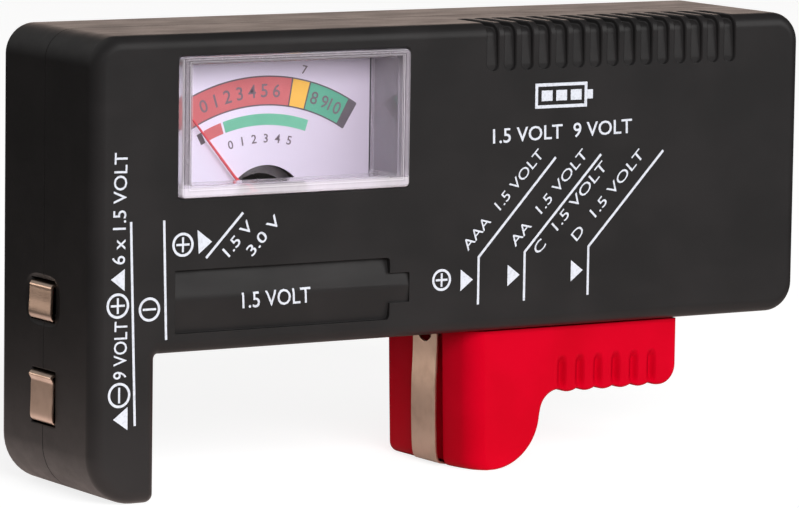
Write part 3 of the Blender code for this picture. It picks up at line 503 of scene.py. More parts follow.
def printed_card(name, colour, faint, roughness=0.55):
    """Card or a layer of ink on it: paper fibre and a slight unevenness of tone."""
    material, nodes = new_material(name)
    place = nodes.place()
    tone = nodes.noise(place, 0.25, 3.0)
    fibre = nodes.noise(place, 12.0, 3.0, (1.0, 1.0, 2.2))
    base = nodes.blend(nodes.fit(tone, 0.0, 1.0), colour, faint)
    shader = nodes.add("ShaderNodeBsdfPrincipled", {
        "Base Color": base, "Roughness": nodes.fit(fibre, roughness - 0.05, roughness + 0.05),
        "Normal": nodes.bump(fibre, 0.12, 0.00003)})
    nodes.finish(shader.outputs[0])
    return material


def dial_paper(name, colour, shaded):
    """Pale card with painted shade that greys it a little towards its right-hand end."""
    material, nodes = new_material(name)
    place = nodes.place()
    along = nodes.add("ShaderNodeSeparateXYZ", {0: place}).outputs["X"]
    left = CORNER.x / MM
    # Painted shade: the card darkens towards its right-hand end.
    shade = nodes.fit(along, 0.0, 1.0, left + 24.0, left + 47.0, smooth=False)
    fibre = nodes.noise(place, 12.0, 3.0, (1.0, 1.0, 2.2))
    shader = nodes.add("ShaderNodeBsdfPrincipled", {
        "Base Color": nodes.blend(shade, colour, shaded), "Roughness": nodes.fit(fibre, 0.5, 0.6),
        "Normal": nodes.bump(fibre, 0.12, 0.00003)})
    nodes.finish(shader.outputs[0])
    return material


def mark_ink(name, colour):
    """Pad-printed ink with slightly worn, uneven cover."""
    material, nodes = new_material(name)
    place = nodes.place()
    cover = nodes.noise(place, 3.2, 4.0)
    grain = nodes.noise(place, 10.0, 2.0)
    worn = tuple(0.80 * part for part in colour)
    base = nodes.blend(nodes.fit(cover, 0.0, 1.0, 0.45, 0.75), colour, worn)
    shader = nodes.add("ShaderNodeBsdfPrincipled", {
        "Base Color": base, "Roughness": nodes.fit(grain, 0.45, 0.6), "Normal": nodes.bump(grain, 0.1, 0.00002)})
    nodes.finish(shader.outputs[0])
    return material


def bare_metal(name, colour, dark, roughness, scale=1.2):
    """Turned, ground or cast metal seen inside the case and on its screws."""
    material, nodes = new_material(name)
    place = nodes.place()
    marks = nodes.noise(place, scale * 3.0, 3.0)
    stain = nodes.noise(place, scale * 0.5, 4.0)
    base = nodes.blend(nodes.fit(stain, 0.0, 1.0), colour, dark)
    shader = nodes.add("ShaderNodeBsdfPrincipled", {
        "Base Color": base, "Metallic": 1.0, "Roughness": nodes.fit(marks, roughness - 0.06, roughness + 0.1),
        "Normal": nodes.bump(marks, 0.12, 0.00004, nodes.soft_edges(0.00005))})
    nodes.finish(shader.outputs[0])
    return material


def wound_wire(name, colour, dark):
    """Enamelled copper wire laid turn beside turn."""
    material, nodes = new_material(name)
    place = nodes.place()
    turns = nodes.add("ShaderNodeTexWave", {"Vector": place, "Scale": 2.2, "Distortion": 0.6},
                      wave_type="BANDS", bands_direction="Z")
    base = nodes.blend(nodes.fit(turns.outputs["Fac"], 0.0, 1.0), dark, colour)
    shader = nodes.add("ShaderNodeBsdfPrincipled", {
        "Base Color": base, "Metallic": 1.0, "Roughness": nodes.fit(turns.outputs["Fac"], 0.5, 0.3),
        "Normal": nodes.bump(turns.outputs["Fac"], 0.6, 0.0001)})
    nodes.finish(shader.outputs[0])
    return material


def banded_resistor(name):
    """Lacquered resistor body with painted bands around its length."""
    material, nodes = new_material(name)
    coordinates = nodes.add("ShaderNodeTexCoord")
    along = nodes.add("ShaderNodeSeparateXYZ", {0: coordinates.outputs["Generated"]}).outputs["X"]
    ramp = nodes.add("ShaderNodeValToRGB", {"Fac": along})
    ramp.color_ramp.interpolation = "CONSTANT"
    lead = (0.55, 0.55, 0.53, 1.0)
    body = (0.58, 0.42, 0.24, 1.0)
    bands = ((0.28, body), (0.36, (0.15, 0.06, 0.03, 1)), (0.40, body), (0.45, (0.02, 0.02, 0.02, 1)),
             (0.49, body), (0.54, (0.55, 0.05, 0.03, 1)), (0.58, body), (0.64, (0.6, 0.4, 0.1, 1)),
             (0.67, body), (0.725, lead))
    ramp.color_ramp.elements[0].color = lead
    ramp.color_ramp.elements[1].position = bands[0][0]
    ramp.color_ramp.elements[1].color = bands[0][1]
    for position, colour in bands[1:]:
        element = ramp.color_ramp.elements.new(position)
        element.color = colour
    grain = nodes.noise(nodes.place(), 3.0, 2.0)
    shader = nodes.add("ShaderNodeBsdfPrincipled", {
        "Base Color": ramp.outputs["Color"], "Roughness": nodes.fit(grain, 0.3, 0.42),
        "Coat Weight": 0.3, "Normal": nodes.bump(grain, 0.08, 0.00005)})
    nodes.finish(shader.outputs[0])
    return material


def insulation(name, colour):
    material, nodes = new_material(name)
    place = nodes.place()
    dirt = nodes.noise(place, 0.8, 3.0)
    darker = tuple(0.6 * part for part in colour)
    base = nodes.blend(nodes.fit(dirt, 0.0, 1.0), colour, darker)
    shader = nodes.add("ShaderNodeBsdfPrincipled", {
        "Base Color": base, "Roughness": nodes.fit(dirt, 0.38, 0.55),
        "Normal": nodes.bump(nodes.noise(place, 6.0), 0.08, 0.00003)})
    nodes.finish(shader.outputs[0])
    return material


MATERIALS = {
    # rim sets the painted shade that darkens each plastic at its silhouettes.
    "case_black": moulded_plastic("black_abs", (0.0145, 0.0138, 0.0140), (0.0185, 0.0172, 0.0175), 0.38,
                                  specular=0.28, rim=0.6),
    "slider_red": moulded_plastic("red_abs", (0.55, 0.0, 0.013), (0.49, 0.0, 0.010), 0.42, specular=0.05, rim=0.3),
    "clear_cover": clear_plastic("clear_styrene"),
    # The dial's second colour is its painted shade.
    "dial_card": dial_paper("dial_card", (0.90, 0.84, 1.0), (0.62, 0.55, 0.66)),
    "meter_plastic": moulded_plastic("meter_moulding", (0.045, 0.045, 0.05), (0.06, 0.06, 0.065), 0.5),
    "needle_red": printed_card("needle_paint", (0.84, 0.10, 0.12), (0.80, 0.09, 0.11), 0.4),
    "nickel": strip_metal("nickel_strip", (0.62, 0.48, 0.39), (0.52, 0.39, 0.31), 0.30),
    "steel": bare_metal("zinc_steel", (0.60, 0.60, 0.61), (0.45, 0.45, 0.46), 0.3),
    "ring_iron": bare_metal("ring_iron", (0.20, 0.19, 0.20), (0.16, 0.15, 0.16), 0.45),
    "brass": bare_metal("brass", (0.72, 0.54, 0.26), (0.55, 0.38, 0.17), 0.3),
    "copper": wound_wire("copper_winding", (0.72, 0.32, 0.16), (0.35, 0.12, 0.06)),
    "magnet": bare_metal("cast_magnet", (0.10, 0.10, 0.105), (0.06, 0.06, 0.065), 0.55, 2.0),
    "resistor_body": banded_resistor("banded_resistor"),
    "wire_red": insulation("red_insulation", (0.55, 0.02, 0.02)),
    "wire_black": insulation("black_insulation", (0.03, 0.03, 0.03)),
}
WHITE_INK = mark_ink("white_ink", (0.66, 0.69, 0.76))


# ---------------------------------------------------------------- case


def case_corners():
    return (
        (0.0, 0.0, TOE_RADIUS),
        (LEG_WIDTH, 0.0, LEG_INNER_RADIUS),
        (LEG_WIDTH, BODY_BOTTOM, CROTCH_RADIUS),
        (CASE_WIDTH, BODY_BOTTOM, CORNER_RADIUS),
        (CASE_WIDTH, CASE_HEIGHT, CORNER_RADIUS),
        (0.0, CASE_HEIGHT, CORNER_RADIUS),
    )


def case_ring(inset, y):
    return at_depth(rounded_outline(case_corners(), inset), y)


def fillet_rings(face_y, radius, inwards, steps=9):
    """Outlines of the rounded edge around an outer face, starting at the face."""
    rings = []
    for step in range(steps + 1):
        angle = math.pi / 2 * step / steps
        inset = radius * (1 - math.sin(angle))
        rings.append(case_ring(inset, face_y + inwards * radius * (1 - math.cos(angle))))
    return rings


def front_half():
    """Front half of the case: face, side walls, and the tongue that enters the rear half."""
    edge_y = SEAM_Y - SEAM_GAP
    rings = fillet_rings(0.0, FRONT_FILLET, 1)
    rings.append(case_ring(0.0, edge_y - SEAM_CHAMFER))
    rings.append(case_ring(SEAM_CHAMFER, edge_y))
    rings.append(case_ring(TONGUE_INSET, edge_y))
    rings.append(case_ring(TONGUE_INSET, edge_y + 1.3))
    rings.append(case_ring(WALL, edge_y + 1.3))
    rings.append(case_ring(WALL, WALL))
    return loft(rings)


def rear_half():
    """Rear half of the case, with the rebate that takes the front half's tongue."""
    edge_y = SEAM_Y + SEAM_GAP
    rings = fillet_rings(CASE_DEPTH, BACK_FILLET, -1)
    rings.append(case_ring(0.0, edge_y + SEAM_CHAMFER))
    rings.append(case_ring(SEAM_CHAMFER, edge_y))
    rings.append(case_ring(REBATE_INSET, edge_y))
    rings.append(case_ring(REBATE_INSET, edge_y + 1.5))
    rings.append(case_ring(WALL, edge_y + 1.5))
    rings.append(case_ring(WALL, CASE_DEPTH - WALL))
    return loft(rings)


def side_opening(x_range, z_range, middle_y, half_width, lip=0.1):
    """Cutter for a contact's opening: a straight hole that widens to an eased lip at the outer wall."""
    outer_x, inner_x = x_range
    outwards = 1 if outer_x > inner_x else -1
    surface = 0.0 if outwards < 0 else LEG_WIDTH
    sections = ((outer_x, lip), (surface, lip), (surface - outwards * lip, 0.0), (inner_x, 0.0))
    rings = []
    for x, grow in sections:
        low_y, high_y = middle_y - half_width - grow, middle_y + half_width + grow
        low_z, high_z = z_range[0] - grow, z_range[1] + grow
        rings.append([(x, low_y, low_z), (x, high_y, low_z), (x, high_y, high_z), (x, low_y, high_z)])
    return loft(rings)


def contact_dish():
    """Shallow scoop around the upper nine-volt contact: a rounded rectangle with an eased rim."""
    profile = ((-1.0, 1.3), (-0.02, 1.03), (0.02, 1.0), (0.07, 0.97), (0.15, 0.92), (0.22, 0.86), (0.27, 0.78),
               (0.29, 0.65))
    count = 64
    rings = []
    for x, share in profile:
        ring = []
        for i in range(count):
            angle = math.tau * i / count
            across, up = math.cos(angle), math.sin(angle)
            y = UPPER_LEAF_Y + 4.7 * share * math.copysign(abs(across) ** 0.6, across)
            ring.append((x, y, 25.15 + 3.35 * share * math.copysign(abs(up) ** 0.6, up)))
        rings.append(ring)
    return loft(rings)


def track_opening():
    outline = rounded_outline(rectangle(*TRACK_X, MID_Y - TRACK_HALF_DEPTH, MID_Y + TRACK_HALF_DEPTH, 1.2), steps=6)
    rings = []
    for z, grow in ((BODY_BOTTOM - 1, 0.25), (BODY_BOTTOM, 0.25), (BODY_BOTTOM + 0.25, 0.0), (BODY_BOTTOM + 2.4, 0.0)):
        ring = []
        for x, y in outline:
            towards = 1 if y > MID_Y else -1
            ring.append((x + (grow if x > 50 else -grow), y + towards * grow, z))
        rings.append(ring)
    return loft(rings)


def slot_sections():
    """Stations along one finger-grip slot: (point, inward normal, half width, depth) in the y-z plane."""
    low_z = 53.7
    half = 0.85
    depth = 0.75
    stations = []
    for step in range(1, 8):
        angle = math.pi / 2 * step / 7
        stations.append((0.0, low_z + half * (1 - math.cos(angle)), 0.0, half * math.sin(angle), 0.42))
    for step in range(9):
        angle = math.pi / 2 * step / 8
        y = FRONT_FILLET * (1 - math.cos(angle))
        z = CASE_HEIGHT - FRONT_FILLET * (1 - math.sin(angle))
        stations.append((y, z, angle, half, depth))
    stations.append((4.5, CASE_HEIGHT, math.pi / 2, half, depth))
    for step in range(6):
        angle = math.pi / 2 * step / 6
        stations.append((7.3 + half * math.sin(angle), CASE_HEIGHT, math.pi / 2, half * math.cos(angle), depth))
    return stations


def grip_slots():
    """Cutter for the finger-grip slots, which wrap over the front top edge."""
    lip = 0.14
    parts = []
    first = 59.3
    pitch = 2.704
    for index in range(15):
        x = first + index * pitch
        rings = []
        for y, z, angle, half, depth in slot_sections():
            inward = Vector((0, math.cos(angle), -math.sin(angle)))
            surface = Vector((x, y, z))
            half = max(half, 0.06)
            section = ((-half - lip, -0.6), (-half - lip, 0.0), (-half, lip), (-half * 0.97, depth - 0.12),
                       (-half * 0.8, depth), (half * 0.8, depth), (half * 0.97, depth - 0.12), (half, lip),
                       (half + lip, 0.0), (half + lip, -0.6))
            rings.append([surface + Vector((across, 0, 0)) + inward * down for across, down in section])
        parts.append(loft(rings))
    return merge(*parts)


def relief_depth(z):
    """Depth of the sunk battery-shaped relief: two curved flanks that meet on a ridge."""
    if z > RELIEF_RIDGE_Z:
        reach = (z - RELIEF_RIDGE_Z) / (RELIEF_TOP - RELIEF_RIDGE_Z)
        return 0.1 + 0.9 * (0.85 * reach + 0.15 * reach**2)
    reach = (RELIEF_RIDGE_Z - z) / (RELIEF_RIDGE_Z - RELIEF_BOTTOM)
    return 0.1 + 0.6 * (0.8 * reach + 0.2 * reach**2)


def relief_bar(x_range, z_range, corner, low_corner=0.0):
    """Cutter for one length of the relief, its right-hand end rounded by corner above and low_corner below."""
    steps = 18
    heights = [z_range[0] + (z_range[1] - z_range[0]) * step / steps for step in range(steps + 1)]
    rings = []
    ends = [x_range[0], x_range[1] - corner]
    for step in range(1, 6):
        ends.append(x_range[1] - corner + corner * math.sin(math.pi / 2 * step / 5))
    for index, x in enumerate(ends):
        drop = 0.0
        if index > 1:
            drop = corner - math.sqrt(max(corner**2 - (x - ends[1]) ** 2, 0.0))
        lift = drop * low_corner / corner
        ring = [(x, -1.0, z_range[0] + lift)]
        for z in heights:
            z = min(max(z, z_range[0] + lift), z_range[1] - drop)
            ring.append((x, relief_depth(z), z))
        ring.append((x, -1.0, z_range[1] - drop))
        rings.append(ring)
    return loft(rings)


def window_opening():
    rings = []
    for y, grow in ((-1.0, 0.3), (0.0, 0.3), (0.22, 0.08), (WALL + 1, 0.08)):
        frame_box = rectangle(COVER_LOW.x - grow, COVER_HIGH.x + grow, COVER_LOW.z - grow, COVER_HIGH.z + grow, 0.5)
        rings.append(at_depth(rounded_outline(frame_box, steps=4), y))
    return loft(rings)


SCREW_PLACES = []
for number in range(1, 5):
    low, high = span(f"case_screw_{number}")
    SCREW_PLACES.append(((low.x + high.x) / 2, (low.z + high.z) / 2, low.y, high.y))


def shells():
    openings = [side_opening((-2, WALL + 1.5), (22.4, 27.9), UPPER_LEAF_Y + 0.15, 3.2),
                side_opening((-2, WALL + 1.5), (9.0, 16.2), LEAF_MID_Y, 3.2),
                side_opening((LEG_WIDTH + 2, LEG_WIDTH - WALL - 1), (8.3, 16.3), MID_Y, 3.3),
                track_opening(), contact_dish()]
    copies = [part.copy() for part in openings]
    front_posts = []
    rear_posts = []
    front_bores = []
    recesses = []
    for x, z, tip_y, head_y in SCREW_PLACES:
        front_posts.append(turned_y(x, z, ((WALL - 0.4, 2.5), (SEAM_Y - 0.5, 2.5))))
        front_bores.append(turned_y(x, z, ((tip_y - 1.5, 1.4), (SEAM_Y + 1, 1.4))))
        rear_posts.append(turned_y(x, z, ((SEAM_Y - 0.2, 2.5), (17.5, 2.5), (18.5, 3.2), (CASE_DEPTH - 1, 3.2))))
        recesses.append(turned_y(x, z, (
            (SEAM_Y - 3, 1.5), (20.0, 1.5), (20.01, 2.4), (CASE_DEPTH - 0.3, 2.4), (CASE_DEPTH, 2.65),
            (CASE_DEPTH + 1, 2.65))))
    front = combined(front_half(), "UNION", merge(*front_posts))
    barrel = relief_bar((11.9, 43.9), (RELIEF_BOTTOM, RELIEF_TOP), 0.5, 0.8)
    tip = relief_bar((43.2, 46.9), (23.9, 27.8), 0.25)
    front = combined(front, "DIFFERENCE", merge(*front_bores), window_opening(), barrel, tip, grip_slots(),
                     *openings)
    finish_piece("front_shell_skin", front, MATERIALS["case_black"], "case", ("front_shell",))
    rear = combined(rear_half(), "UNION", merge(*rear_posts))
    rear = combined(rear, "DIFFERENCE", merge(*recesses), *copies)
    finish_piece("rear_shell_skin", rear, MATERIALS["case_black"], "case", ("rear_shell",))


def cross_recess(x, z, y):
    """Cutter for a cross-head driver recess that narrows inwards."""
    arms = []
    for wide_x, wide_z in ((1.25, 0.26), (0.26, 1.25)):
        rings = []
        for depth, share in ((0.5, 1.1), (0.0, 1.0), (-0.9, 0.55)):
            across, up = wide_x * share, wide_z * (0.6 + 0.4 * share)
            if wide_z > wide_x:
                across, up = wide_x * (0.6 + 0.4 * share), wide_z * share
            rings.append([(x - across, y + depth, z - up), (x + across, y + depth, z - up),
                          (x + across, y + depth, z + up), (x - across, y + depth, z + up)])
        arms.append(loft(rings))
    return arms


def case_screws():
    for number, (x, z, tip_y, head_y) in enumerate(SCREW_PLACES, 1):
        seat = 20.3
        profile = [(tip_y, 0.1), (tip_y + 1.4, 0.95)]
        y = tip_y + 1.4
        while y < seat - 2.0:
            profile += [(y + 0.1, 0.85), (y + 0.45, 1.1), (y + 0.55, 1.1)]
            y += 0.8
        profile += [(seat, 1.05), (seat + 0.02, 2.0), (seat + 0.15, 2.1)]
        for step in range(1, 7):
            angle = math.pi / 2 * step / 6
            reach = 2.1 * math.cos(angle * 0.62)
            profile.append((seat + 0.5 + (head_y - seat - 0.5) * math.sin(angle), reach))
        screw = turned_y(x, z, profile, count=36)
        screw = combined(screw, "DIFFERENCE", *cross_recess(x, z, head_y))
        name = f"case_screw_{number}_turned"
        finish_piece(name, screw, MATERIALS["steel"], "case", (f"case_screw_{number}",))


# ---------------------------------------------------------------- meter


def meter_cover():
    """Clear moulded box: eased front rim, hollow from the back, floor notched for the needle."""
    box = rectangle(COVER_LOW.x, COVER_HIGH.x, COVER_LOW.z, COVER_HIGH.z, 0.6)
    rings = []
    for inset, y in ((0.42, 0.0), (0.2, 0.06), (0.06, 0.2), (0.0, 0.45)):
        rings.append(at_depth(rounded_outline(box, inset, steps=5), COVER_LOW.y + y))
    rings.append(at_depth(rounded_outline(box, steps=5), COVER_HIGH.y))
    inner = (COVER_LOW.x + COVER_WALL, COVER_HIGH.x - COVER_WALL, COVER_LOW.z + COVER_WALL,
             COVER_HIGH.z - COVER_TOP_WALL)
    for grow, y in ((0.0, COVER_HIGH.y), (-0.1, COVER_LOW.y + COVER_FRONT_WALL + 0.4),
                    (-0.25, COVER_LOW.y + COVER_FRONT_WALL)):
        hollow = rectangle(*inner, 0.5)
        rings.append(at_depth(rounded_outline(hollow, -grow, steps=5), y))
    cover = loft(rings)
    notch = block((inner[0] + 0.1, inner[1] - 0.1), (5.4, COVER_HIGH.y + 1), (COVER_LOW.z - 1, inner[2] + 0.2))
    cover = combined(cover, "DIFFERENCE", notch)
    finish_piece("meter_cover_clear", cover, MATERIALS["clear_cover"], "case", ("meter_cover",))


def arc_outline(radii, angles, centre=ARC_CENTRE, step=1.2):
    """Closed outline of a ring segment; angles in degrees from straight up, positive to the right."""
    count = max(2, int(abs(angles[1] - angles[0]) / step))
    outline = []
    for radius, order in ((radii[0], range(count + 1)), (radii[1], range(count, -1, -1))):
        for i in order:
            angle = math.radians(angles[0] + (angles[1] - angles[0]) * i / count)
            outline.append((centre[0] + radius * math.sin(angle), centre[1] + radius * math.cos(angle)))
    return outline


def printed(outline, lift):
    """A thin layer of ink on the dial."""
    return loft([at_depth(outline, y) for y in (DIAL_Y - lift, DIAL_Y + 0.01)])


def dial_plate():
    right = COVER_HIGH.x - COVER_WALL - 0.03
    top = COVER_HIGH.z - COVER_TOP_WALL - 0.03
    outline = rectangle(DIAL_LOW.x, right, DIAL_LOW.z, top, 0.2)
    plate = loft([at_depth(rounded_outline(outline, steps=4), y) for y in (DIAL_Y, DIAL_HIGH.y)])
    arch = turned_y(PIVOT[0], PIVOT[1], ((DIAL_Y - 1, 6.2), (DIAL_Y + 1.5, 6.2)), count=96)
    below = block((PIVOT[0] - 6.2, PIVOT[0] + 6.2), (DIAL_Y - 1, DIAL_Y + 1.5), (DIAL_LOW.z - 1, PIVOT[1]))
    plate = combined(plate, "DIFFERENCE", arch, below)
    finish_piece("dial_plate_card", plate, MATERIALS["dial_card"], "case", ("dial_plate",))
    inks = {
        "red": printed_card("dial_red", (0.68, 0.19, 0.20), (0.64, 0.17, 0.18)),
        "yellow": printed_card("dial_yellow", (1.0, 0.58, 0.12), (0.95, 0.54, 0.1)),
        "green": printed_card("dial_green", (0.14, 0.46, 0.32), (0.12, 0.42, 0.29)),
        "pale_green": printed_card("dial_pale_green", (0.20, 0.58, 0.40), (0.18, 0.54, 0.37)),
        "dark": printed_card("dial_dark", (0.19, 0.15, 0.18), (0.22, 0.18, 0.21)),
        "grey": printed_card("dial_grey", (0.13, 0.11, 0.13), (0.15, 0.13, 0.15)),
    }
    big = (22.45, 26.17)
    small = (19.83, 21.31)
    fields = (("red", big, (-34.0, 9.6)), ("yellow", big, (9.6, 15.7)), ("green", big, (15.7, 29.4)),
              ("grey", big, (29.4, 32.3)), ("grey", small, (-27.6, -25.6)), ("red", small, (-24.6, -17.3)),
              ("pale_green", small, (-16.4, 18.5)))
    for number, (ink, radii, angles) in enumerate(fields, 1):
        name = f"dial_field_{number}_{ink}"
        finish_piece(name, printed(arc_outline(radii, angles), 0.03), inks[ink], "case")
    lines = [arc_outline((radius - 0.09, radius + 0.09), (-34.0, 32.3)) for radius in big]
    for angle in (9.6, 15.7):
        lines.append(arc_outline(big, (angle - 0.22, angle + 0.22)))
    lines.append(arc_outline(big, (32.1, 32.5)))
    parts = [printed(line, 0.045) for line in lines]
    finish_piece("dial_lines", merge(*parts), inks["grey"], "case")
    figures = []
    for text, angle, radius, height in dial_figures():
        figures.append(arc_figure(text, angle, radius, height))
    finish_piece("dial_figures", merge(*figures), inks["dark"], "case")


def dial_figures():
    """Scale figures along the arcs: (text, angle, radius, height)."""
    figures = []
    for index, text in enumerate(("0", "1", "2", "3", "4", "5", "6")):
        figures.append((text, -21.5 + index * 4.35, 24.3, 1.75))
    figures.append(("7", 12.9, 27.5, 1.15))
    for index, text in enumerate(("8", "9", "10")):
        figures.append((text, 18.3 + index * 3.95, 24.3, 1.7))
    for index, text in enumerate(("0", "1", "2", "3", "4", "5")):
        figures.append((text, -15.5 + index * 5.6, 18.1, 1.15))
    return figures


def arc_figure(text, angle, radius, height):
    """One upright figure standing on an arc of the dial."""
    turn = math.radians(angle)
    x = ARC_CENTRE[0] + radius * math.sin(turn)
    z = ARC_CENTRE[1] + radius * math.cos(turn)
    return lettering(text, height, (x, z), -turn, centred=True, surface_y=DIAL_Y, lift=0.05)


# ---------------------------------------------------------------- marks on the face


def glyph_mesh(text, boldness=0.0):
    """Flat mesh of a text in Blender's own font, lying in x and y."""
    curve = bpy.data.curves.new("glyphs", "FONT")
    curve.body = text
    curve.resolution_u = 3
    curve.offset = boldness
    curve.extrude = 0.01
    obj = bpy.data.objects.new("glyphs", curve)
    bpy.context.scene.collection.objects.link(obj)
    bpy.context.view_layer.update()
    data = evaluated_mesh(obj)
    bpy.data.curves.remove(curve)
    return data


def lettering(text, height, place, turn=0.0, length=None, centred=False, surface_y=0.0, lift=MARK_HEIGHT,
              lean=0.0, boldness=0.008, shear=0.0):
    """Raised lettering on a face: its lower left corner, or its centre, stands at place (x, z)."""
    data = glyph_mesh(text, boldness)
    xs = [vert.co.x for vert in data.verts]
    ys = [vert.co.y for vert in data.verts]
    cap = max(ys) - min(ys)
    wide = max(xs) - min(xs)
    scale = height / cap
    stretch = scale if length is None else length / wide
    anchor = Vector((min(xs), min(ys), 0))
    if centred:
        anchor = Vector(((min(xs) + max(xs)) / 2, (min(ys) + max(ys)) / 2, 0))
    sheared = Matrix.Identity(4)
    sheared[0][1] = shear
    flat = sheared @ Matrix.Diagonal((stretch, scale, lift / 0.02, 1.0)) @ Matrix.Translation(-anchor)
    upright = Matrix.Rotation(math.radians(90), 4, "X")
    turned = Matrix.Rotation(-turn, 4, "Y")
    leaning = Matrix.Rotation(lean, 4, "X")
    at = Matrix.Translation((place[0], surface_y - lift / 2 + 0.005, place[1]))
    return moved(data, at @ leaning @ turned @ upright @ flat)


def stroke(points, width=LINE_WIDTH):
    """A printed line through points (x, z), mitred at its bends."""
    path = [Vector(point) for point in points]
    left = []
    right = []
    for i, point in enumerate(path):
        arriving = (point - path[i - 1]).normalized() if i else (path[1] - point).normalized()
        leaving = (path[i + 1] - point).normalized() if i + 1 < len(path) else arriving
        middle = (arriving + leaving).normalized()
        across = Vector((-middle.y, middle.x)) * width / 2 / max(middle.dot(arriving), 0.5)
        left.append(point + across)
        right.append(point - across)
    return mark(left + right[::-1])


def mark(outline):
    return loft([at_depth(outline, y) for y in (-MARK_HEIGHT, 0.01)])


def ring_mark(x, z, radius, sign, turn=0.0, width=LINE_WIDTH):
    """A plus or minus sign in a circle."""
    parts = []
    count = 48
    sections = []
    for i in range(count):
        angle = math.tau * i / count
        across = Vector((math.cos(angle), 0, math.sin(angle)))
        middle = Vector((x, 0, z))
        section = []
        for reach, y in ((radius - width, 0.01), (radius, 0.01), (radius, -MARK_HEIGHT), (radius - width, -MARK_HEIGHT)):
            section.append(middle + across * reach + Vector((0, y, 0)))
        sections.append(section)
    parts.append(loft(sections, closed=True))
    bar = radius * 0.62
    direction = Vector((math.cos(turn), math.sin(turn)))
    centre = Vector((x, z))
    parts.append(stroke((centre - direction * bar, centre + direction * bar), width * 0.85))
    if sign == "+":
        side = Vector((-direction.y, direction.x))
        for towards in (-1, 1):
            start = centre + side * towards * width * 0.43
            parts.append(stroke((start, centre + side * towards * bar), width * 0.85))
    return parts


def triangle(tip, base_x, half):
    z = tip[1]
    return mark([(base_x, z - half), tip, (base_x, z + half)])


def battery_pictogram(x, z, length, height):
    """Outline of a cell with three charge bars."""
    line = 0.42
    parts = [stroke(((x, z), (x + length, z)), line), stroke(((x, z + height), (x + length, z + height)), line)]
    parts.append(stroke(((x + line / 2, z + line / 2), (x + line / 2, z + height - line / 2)), line))
    parts.append(stroke(((x + length - line / 2, z + line / 2), (x + length - line / 2, z + height - line / 2)), line))
    parts.append(stroke(((x + length + 0.02, z + height / 2), (x + length + 0.9, z + height / 2)), height * 0.42))
    bar = (length - 2.2) / 3
    for index in range(3):
        left = x + 1.0 + index * (bar + 0.3)
        parts.append(stroke(((left, z + height / 2), (left + bar - 0.3, z + height / 2)), height - 1.5))
    return parts


def face_marks():
    """All white marks on the front face."""
    up = math.radians(90)
    parts = [stroke(((5.41, 36.45), (6.18, 10.29))), stroke(((10.19, 36.41), (10.62, 21.06)))]
    parts.append(lettering("6 x 1.5 VOLT", 1.9, (4.6, 31.1), up - 0.02, length=14.2, boldness=0.004))
    parts.append(lettering("9 VOLT", 1.9, (4.9, 16.4), up - 0.02, length=7.4, boldness=0.004))
    parts.append(mark([(4.56, 27.7), (4.56, 30.5), (2.58, 29.21)]))
    parts.append(mark([(5.12, 9.84), (5.12, 12.8), (3.05, 11.28)]))
    parts += ring_mark(3.6, 25.83, 1.62, "+")
    parts += ring_mark(3.89, 14.36, 1.62, "-", up)
    parts += ring_mark(8.17, 25.12, 1.55, "-")
    parts += ring_mark(12.95, 33.16, 1.55, "+")
    parts.append(mark([(15.27, 31.85), (17.2, 33.34), (15.06, 34.94)]))
    parts.append(stroke(((16.35, 31.27), (21.72, 36.85))))
    slant = math.radians(46)
    parts.append(lettering("1.5 V", 1.5, (19.75, 31.15), slant, length=5.2, boldness=0.006))
    parts.append(lettering("3.0 V", 1.5, (23.2, 31.05), slant, length=6.1, boldness=0.006))
    parts += ring_mark(51.85, 26.47, 1.45, "+")
    for tip in ((56.69, 26.26), (64.01, 26.5), (74.01, 26.58)):
        parts.append(triangle(tip, tip[0] - 1.9, 1.42))
    for x, low, bend, end in ((57.55, 22.9, 29.2, (69.4, 41.9)), (64.75, 23.0, 29.5, (76.6, 42.0)),
                              (74.85, 23.2, 29.7, (86.6, 42.1))):
        parts.append(stroke(((x, low), (x, bend), end)))
    slant = math.radians(46.3)
    for text, place, length in (("AAA  1.5 VOLT", (55.9, 30.05), 16.9), ("AA  1.5 VOLT", (63.3, 30.2), 16.3),
                                ("C  1.5 VOLT", (66.95, 28.95), 15.6), ("D  1.5 VOLT", (73.0, 30.45), 15.4)):
        parts.append(lettering(text, 1.42, place, slant, length=length, boldness=0.0))
    parts += battery_pictogram(66.0, 48.7, 8.2, 2.9)
    parts.append(lettering("1.5 VOLT  9 VOLT", 1.95, (59.5, 44.1), 0.025, length=22.0, boldness=0.008))
    finish_piece("face_marks", merge(*parts), WHITE_INK, "case", sharp=30)
    label = lettering("1.5 VOLT", 2.1, (26.95, 25.55), 0.02, length=10.2, centred=True, boldness=0.004, shear=-0.09)
    for z in (RELIEF_RIDGE_Z - 0.7, RELIEF_RIDGE_Z, RELIEF_RIDGE_Z + 0.4):
        everything = label.verts[:] + label.edges[:] + label.faces[:]
        bmesh.ops.bisect_plane(label, geom=everything, plane_co=(0, 0, z), plane_no=(0, 0, 1))
    for vert in label.verts:
        vert.co.y += relief_depth(vert.co.z)
    finish_piece("relief_label", label, WHITE_INK, "case", sharp=30)


# ---------------------------------------------------------------- movement


